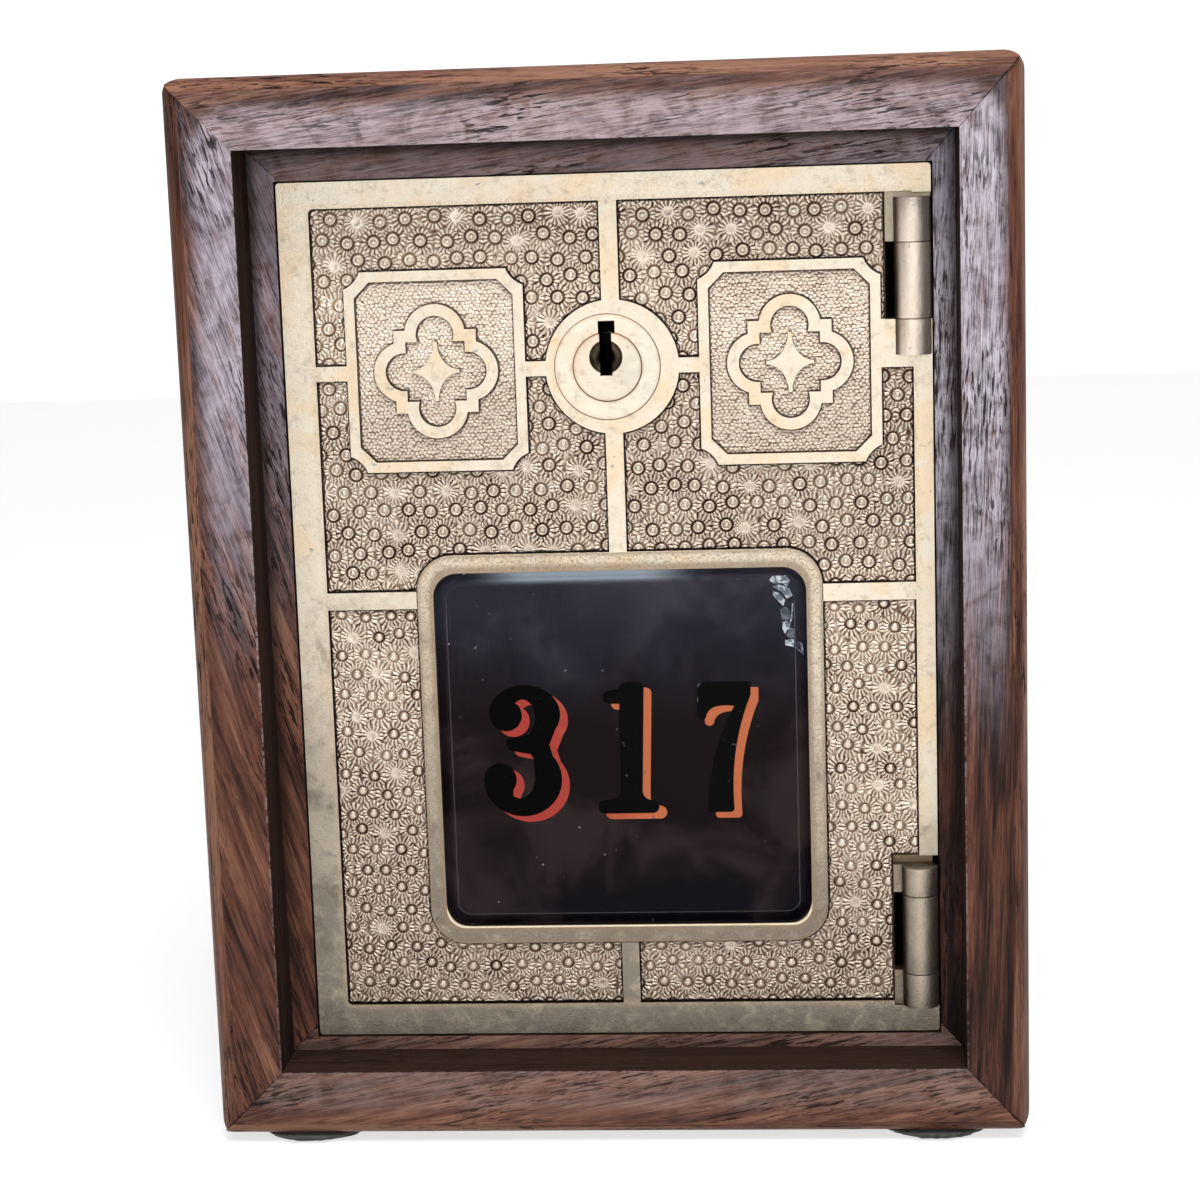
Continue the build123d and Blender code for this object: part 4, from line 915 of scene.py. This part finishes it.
blued = plain_metal("blued_steel", (0.16, 0.18, 0.24), (0.08, 0.08, 0.10), 0.3)
sheet = plain_metal("sheet_brass", (0.62, 0.47, 0.25), (0.30, 0.21, 0.11), 0.36)
bolt_brass = plain_metal("bolt_brass", (0.60, 0.46, 0.25), (0.26, 0.19, 0.11), 0.34)
screw_brass = plain_metal("screw_brass", (0.66, 0.50, 0.27), (0.28, 0.20, 0.10), 0.32, 1.4)
felt = Paint("felt")
felt.shade(
    Base_Color=felt.mix(felt.noise(2.0, 4), (0.012, 0.012, 0.014), (0.045, 0.044, 0.046)),
    Normal=felt.bump(felt.noise(4.0, 4, 0.7), 0.3),
)
felt.shade(Roughness=0.95, Sheen_Weight=0.4)

materials.update({
    "glass_retainer": sheet, "lock_cover": sheet, "bolt": bolt_brass, "bolt_guide": bolt_brass,
    "back_panel_screws": screw_brass, "feet_pads": felt.mat, "window_glass": window_glass(),
})
for number in (1, 2, 3, 4):
    materials[f"lever_{number}"] = sheet
    materials[f"lever_spring_{number}"] = blued
# the other nodes are steel screws and pins
for name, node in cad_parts.items():
    dress(node, materials.get(name, steel))

# ------------------------------------------------------------ figures on the glass
FIGURES_X = -22.6  # the figures' zero point in the door frame
FIGURES_Z = -30.9
FIGURE_T = 0.03
SHADE_RIGHT = 1.15
SHADE_DOWN = 0.9


def arc(x, z, rx, rz, start, end):
    """Points along part of an ellipse, by angles in degrees."""
    count = max(3, int(abs(end - start) / 7))
    turns = [radians(start + (end - start) * i / count) for i in range(count + 1)]
    return [(x + rx * cos(turn), z + rz * sin(turn)) for turn in turns]


def bend(start, pull, end):
    """Points along a quadratic curve."""
    points, count = [], 12
    for i in range(count + 1):
        t = i / count
        a, b, c = (1 - t) ** 2, 2 * t * (1 - t), t * t
        points.append(tuple(a * s + b * m + c * e for s, m, e in zip(start, pull, end)))
    return points


def figure_three():
    outer = arc(8.6, 15.9, 5.4, 4.5, 180, -32) + [(12.2, 11.15)]
    outer += arc(8.0, 5.85, 5.95, 5.75, 38, -180)
    ball = arc(4.55, 5.85, 2.5, 2.5, 180, -38)
    counter = arc(7.5, 6.3, 2.35, 3.4, 243, 375) + [(9.75, 9.0)]
    arm = bend((9.3, 9.75), (7.8, 10.0), (6.3, 10.35)) + arc(6.5, 11.4, 0.8, 0.95, 230, 130)
    upper = [(9.2, 12.75)] + arc(8.35, 15.5, 1.8, 2.7, -50, 130)
    return outer + ball + counter + arm + upper + arc(5.75, 15.8, 2.45, 2.45, 42, -180)


def figure_one():
    foot = [(20.4, 0.35)] + arc(27.55, 1.35, 1.0, 1.0, -90, 80)
    stem = bend((27.2, 2.4), (26.2, 2.7), (26.1, 3.7)) + arc(25.9, 19.7, 0.8, 0.9, 0, 90)
    flag = bend((24.0, 20.6), (23.2, 20.5), (22.7, 19.5)) + arc(21.5, 18.3, 0.95, 1.0, 90, 270)
    back = [(22.95, 17.3)] + bend((22.8, 3.9), (22.6, 2.75), (21.4, 2.55))
    return foot + stem + flag + back + arc(20.35, 1.4, 1.05, 1.05, 100, 270)


def figure_seven():
    top = [(34.7, 20.4), (42.7, 20.4), (42.7, 18.4)]
    front = bend((42.7, 18.4), (39.3, 10.2), (39.9, 0.9)) + arc(39.3, 0.95, 0.6, 0.6, 0, -90)
    back = arc(36.5, 0.95, 0.6, 0.6, 270, 180) + bend((35.9, 0.95), (36.3, 9.6), (40.2, 16.7))
    serif = bend((40.2, 16.7), (36.6, 17.2), (36.0, 15.3)) + arc(35.3, 15.3, 0.7, 0.7, 0, -180)
    return top + front + back + serif


def plate(name, outline, w, shift=(0.0, 0.0)):
    """A thin plate with its face at depth w, from an outline in the figures' coordinates."""
    x0, z0 = FIGURES_X + shift[0], FIGURES_Z + shift[1]
    count = len(outline)
    vertices = [place(x0 + x, depth, z0 + z) for depth in (w, w + FIGURE_T) for x, z in outline]
    faces = [list(range(count)), list(range(2 * count - 1, count - 1, -1))]
    for i in range(count):
        after = (i + 1) % count
        faces.append([after, i, count + i, count + after])
    obj = add_mesh(name, vertices, faces)
    obj.data.validate()
    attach(obj, "door")
    return obj


def chip(name, outline):
    """A flake broken from the glass's corner, as a thin plate that follows the bevel."""
    outline = [(WINDOW_X + x - FIGURES_X, WINDOW_Z + z - FIGURES_Z) for x, z in outline]
    obj = plate(name, outline, GLASS_FACE - 0.02)
    edge = WINDOW_W / 2 - GLASS_GAP - GLASS_BEVEL
    for vertex in obj.data.vertices:
        past = vertex.co.x / MM - WINDOW_AT[0] - edge
        vertex.co.y += max(0.0, past) * GLASS_BEVEL_H / GLASS_BEVEL * MM
    return obj


# outlines of the chips, from the window's middle
CHIPS = (
    (
        (22.4, 25.3), (22.9, 26.0), (24.9, 26.0), (25.5, 25.2), (25.0, 24.3), (24.3, 24.9),
        (23.1, 24.8),
    ),
    ((22.8, 24.4), (23.8, 24.7), (25.3, 24.1), (25.8, 23.0), (25.0, 22.5), (24.1, 23.6)),
    ((22.9, 23.7), (23.8, 23.4), (24.7, 22.3), (24.4, 21.4), (23.6, 22.3), (22.9, 23.0)),
    ((25.7, 21.8), (25.9, 21.8), (25.7, 19.6), (25.2, 17.8), (25.0, 17.9), (25.5, 19.7)),
    (
        (24.6, 16.3), (25.9, 16.4), (27.1, 15.6), (27.3, 13.8), (26.6, 14.5), (25.8, 15.2),
        (24.6, 15.5),
    ),
    ((24.2, 19.0), (25.0, 19.2), (25.2, 18.4), (24.6, 17.2), (24.2, 18.0)),
)
DULL_CHIPS = (
    ((23.9, 20.9), (24.8, 21.3), (25.4, 20.6), (25.3, 19.4), (24.2, 19.3)),
    ((24.7, 17.0), (25.5, 18.2), (26.0, 17.8), (26.0, 16.6), (25.2, 16.5)),
)


def figure_paint(name, colours, worn):
    """Old sign paint: two tones, the second to the right, rubbed through in places."""
    p = Paint(name)
    clouds = p.minus(p.noise(0.16, 5, 0.6), 0.5)
    across = p.scaled(clouds, 26.0, p.minus(p.x, WINDOW_AT[0]))
    p.colour = p.mix(p.step(across, -12.0, 2.0), *colours)
    rubbed = p.step(p.noise(0.45, 5, 0.65, warp=0.6), worn, worn + 0.03)
    p.lay(p.times(rubbed, 0.85), (0.13, 0.12, 0.14))
    p.shade(Base_Color=p.colour, Roughness=p.step(rubbed, 0.0, 1.0, 0.42, 0.7))
    p.shade(Specular_IOR_Level=0.03)
    return p.mat


def flaked_glass(name, scale, low, high, dark, pale):
    """The frosty surface of a break."""
    p = Paint(name)
    clouds = p.step(p.noise(scale, 3, warp=1.0), low, high)
    p.shade(Base_Color=p.mix(clouds, dark, pale))
    p.shade(Transmission_Weight=0.25)
    return p


black_paint = figure_paint("black_paint", ((0.001, 0.001, 0.001), (0.003, 0.003, 0.003)), 0.66)
shade_paint = figure_paint("shade_paint", ((0.48, 0.065, 0.050), (0.64, 0.180, 0.080)), 0.64)
# the pale chips are frosty breaks with a painted highlight
flaked = flaked_glass("chipped_glass", 0.9, 0.42, 0.58, (0.16, 0.20, 0.25), (0.85, 0.92, 0.98))
flaked.shade(Roughness=0.3)
dull = flaked_glass("dull_chipped_glass", 0.7, 0.40, 0.60, (0.05, 0.06, 0.08), (0.20, 0.23, 0.28))
dull.shade(Roughness=0.35)
for index, outline in enumerate(CHIPS + DULL_CHIPS):
    finish = flaked if index < len(CHIPS) else dull
    dress(chip(f"glass_chip_{index + 1}", outline), finish.mat)
for name, outline in (("three", figure_three()), ("one", figure_one()), ("seven", figure_seven())):
    face = GLASS_FACE - FIGURE_T
    shade = plate(f"figure_{name}_shade", outline, face, (SHADE_RIGHT, -SHADE_DOWN))
    dress(shade, shade_paint)
    dress(plate(f"figure_{name}", outline, face - FIGURE_T), black_paint)

# ------------------------------------------------------------ frayed felt round the pads
FOOT_DX = 47.25
FRINGE = 2.0
pads_low, pads_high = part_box("feet_pads")
foot_r = (pads_high[0] - pads_low[0]) / 2 / MM - FOOT_DX
foot_y = (pads_low[1] / MM + foot_r, pads_high[1] / MM - foot_r)
FRAY = 0.25
within, past, low = foot_r - 0.2, foot_r + FRINGE, foot_r + FRINGE * 0.7
RIMS = ((within, 1.15), (past, 1.1), (low, 0.35), (within, 0.25))  # radius and height
count = 72
turn = np.arange(count) * 2 * pi / count
rng = np.random.RandomState(5)
for index, (x, y) in enumerate((x, y) for x in (-FOOT_DX, FOOT_DX) for y in foot_y):
    rims = []
    for reach, z in RIMS:
        ragged = reach + rng.uniform(-FRAY, FRAY, count) * (reach > foot_r)
        along_x, along_y = x + ragged * np.cos(turn), y + ragged * np.sin(turn)
        rims.append(np.stack([along_x, along_y, np.full(count, z)], 1))
    vertices = np.concatenate(rims) * MM
    faces = []
    for ring in range(len(RIMS)):
        this, above = ring * count, (ring + 1) % len(RIMS) * count
        for i in range(count):
            j = (i + 1) % count
            faces.append((this + j, this + i, above + i, above + j))
    fringe = add_mesh(f"felt_fringe_{index + 1}", vertices.tolist(), faces)
    fringe.data.validate()
    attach(fringe, "case")
    dress(fringe, felt.mat)

# ------------------------------------------------------------ rounded corners and softened edges
CORNER_R = 3.2
WELD = 0.002
corner_x, corner_z = (case_high[0] - case_low[0]) / 2 / MM, case_high[2] / MM - CASE_MID_Z
turns = [radians(90 * i / 16) for i in range(17)]
outline = [(CORNER_R * (cos(turn) - 1), CORNER_R * (sin(turn) - 1)) for turn in turns]
outline += [(-CORNER_R, 1.0), (1.0, 1.0), (1.0, -CORNER_R)]
vertices, faces = [], []
for side, up in ((1, 1), (-1, 1), (-1, -1), (1, -1)):
    first, count = len(vertices), len(outline)
    for y in (case_low[1] / MM - 1, case_high[1] / MM + 1):
        for x, z in outline:
            at = (side * (corner_x + x), y, CASE_MID_Z + up * (corner_z + z))
            vertices.append([value * MM for value in at])
    rings = [list(range(count)), list(range(2 * count - 1, count - 1, -1))]
    rings += [[(i + 1) % count, i, count + i, count + (i + 1) % count] for i in range(count)]
    for ring in rings:
        ring = [first + i for i in ring]
        faces.append(ring[::-1] if side * up > 0 else ring)
cutter = add_mesh("corner_cutter", vertices, faces)
cutter.hide_render = True
EDGE_SOFT = {"door": 0.16, "lock_case": 0.12, "key_plug": 0.1, "door_frame": 0.15}
EDGE_SOFT.update({name: 0.18 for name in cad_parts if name.startswith("case_")})
for name, width in EDGE_SOFT.items():
    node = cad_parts[name]
    weld = node.modifiers.new("weld", "WELD")
    weld.merge_threshold = WELD * MM
    if name.startswith("case_"):
        cut = node.modifiers.new("corners", "BOOLEAN")
        cut.operation, cut.object, cut.solver = "DIFFERENCE", cutter, "EXACT"
    bevel = node.modifiers.new("bevel", "BEVEL")
    bevel.width = width * MM
    bevel.segments = 2
    bevel.limit_method = "ANGLE"
    bevel.angle_limit = radians(40)
    bevel.use_clamp_overlap = True

# ------------------------------------------------------------ floor, backdrop, light, camera
FLOOR_SIZE = 3.0
BACKDROP_Y = 1.2
AIM_HEIGHT = 0.08  # where the lamps point, above the floor


def stage_material(name, colour, glow):
    """Plain pale matter that camera, glossy and transmission rays see a little brighter."""
    p = Paint(name)
    rays = p.add("LightPath").outputs
    seen = p.most(*[rays[f"Is {kind} Ray"] for kind in ("Camera", "Glossy", "Transmission")])
    p.shade(Base_Color=(*colour, 1.0), Emission_Color=(1.0, 1.0, 1.0, 1.0))
    p.shade(Emission_Strength=p.times(seen, glow))
    p.shade(Roughness=0.9)
    return p.mat


def stage_plane(name, corners, material):
    obj = add_mesh(name, corners, [(0, 1, 2, 3)])
    dress(obj, material)


half = FLOOR_SIZE / 2
stage_plane(
    "floor",
    [(-half, -half, 0), (half, -half, 0), (half, BACKDROP_Y, 0), (-half, BACKDROP_Y, 0)],
    stage_material("floor", (0.55, 0.55, 0.55), 0.68),
)
stage_plane(
    "backdrop",
    [(x, BACKDROP_Y, z) for x, z in ((-half, 0), (half, 0), (half, half), (-half, half))],
    stage_material("backdrop", (0.85, 0.85, 0.85), 0.8),
)


def softbox(name, at, size, radiance, tint=(1.0, 1.0, 1.0)):
    """A rectangular lamp of the given radiance, aimed at the door."""
    data = bpy.data.lights.new(name, "AREA")
    data.shape, data.size, data.size_y = "RECTANGLE", *size
    data.energy, data.color = radiance * pi * size[0] * size[1], tint
    lamp = bpy.data.objects.new(name, data)
    lamp.location = at
    aim = Vector((0, 0, AIM_HEIGHT)) - lamp.location
    lamp.rotation_euler = aim.to_track_quat("-Z", "Y").to_euler()
    bpy.context.scene.collection.objects.link(lamp)


softbox("window", (0.05, -1.3, 0.32), (0.85, 0.40), 3.2, (0.92, 0.96, 1.0))
softbox("key", (0.14, -0.60, 0.98), (0.42, 0.30), 16.0)
softbox("top", (0.0, -0.3, 1.4), (1.0, 0.7), 1.5)

world = bpy.data.worlds.new("studio")
world.use_nodes = True
sky = world.node_tree.nodes["Background"].inputs
sky["Color"].default_value = (1.0, 1.0, 1.0, 1.0)
sky["Strength"].default_value = 0.26
bpy.context.scene.world = world
bpy.context.scene.view_settings.view_transform = "Standard"

CAMERA_AT = (0.02813, -0.42706, 0.14766)
CAMERA_TURN = (80.14, 1.863, 4.088)
FOCAL_LENGTH = 78.0
camera_data = bpy.data.cameras.new("camera")
camera_data.lens = FOCAL_LENGTH
camera_data.sensor_width = 36.0
camera_data.clip_start = 0.01
camera = bpy.data.objects.new("camera", camera_data)
camera.location = CAMERA_AT
camera.rotation_euler = [radians(angle) for angle in CAMERA_TURN]
bpy.context.scene.collection.objects.link(camera)
bpy.context.scene.camera = camera
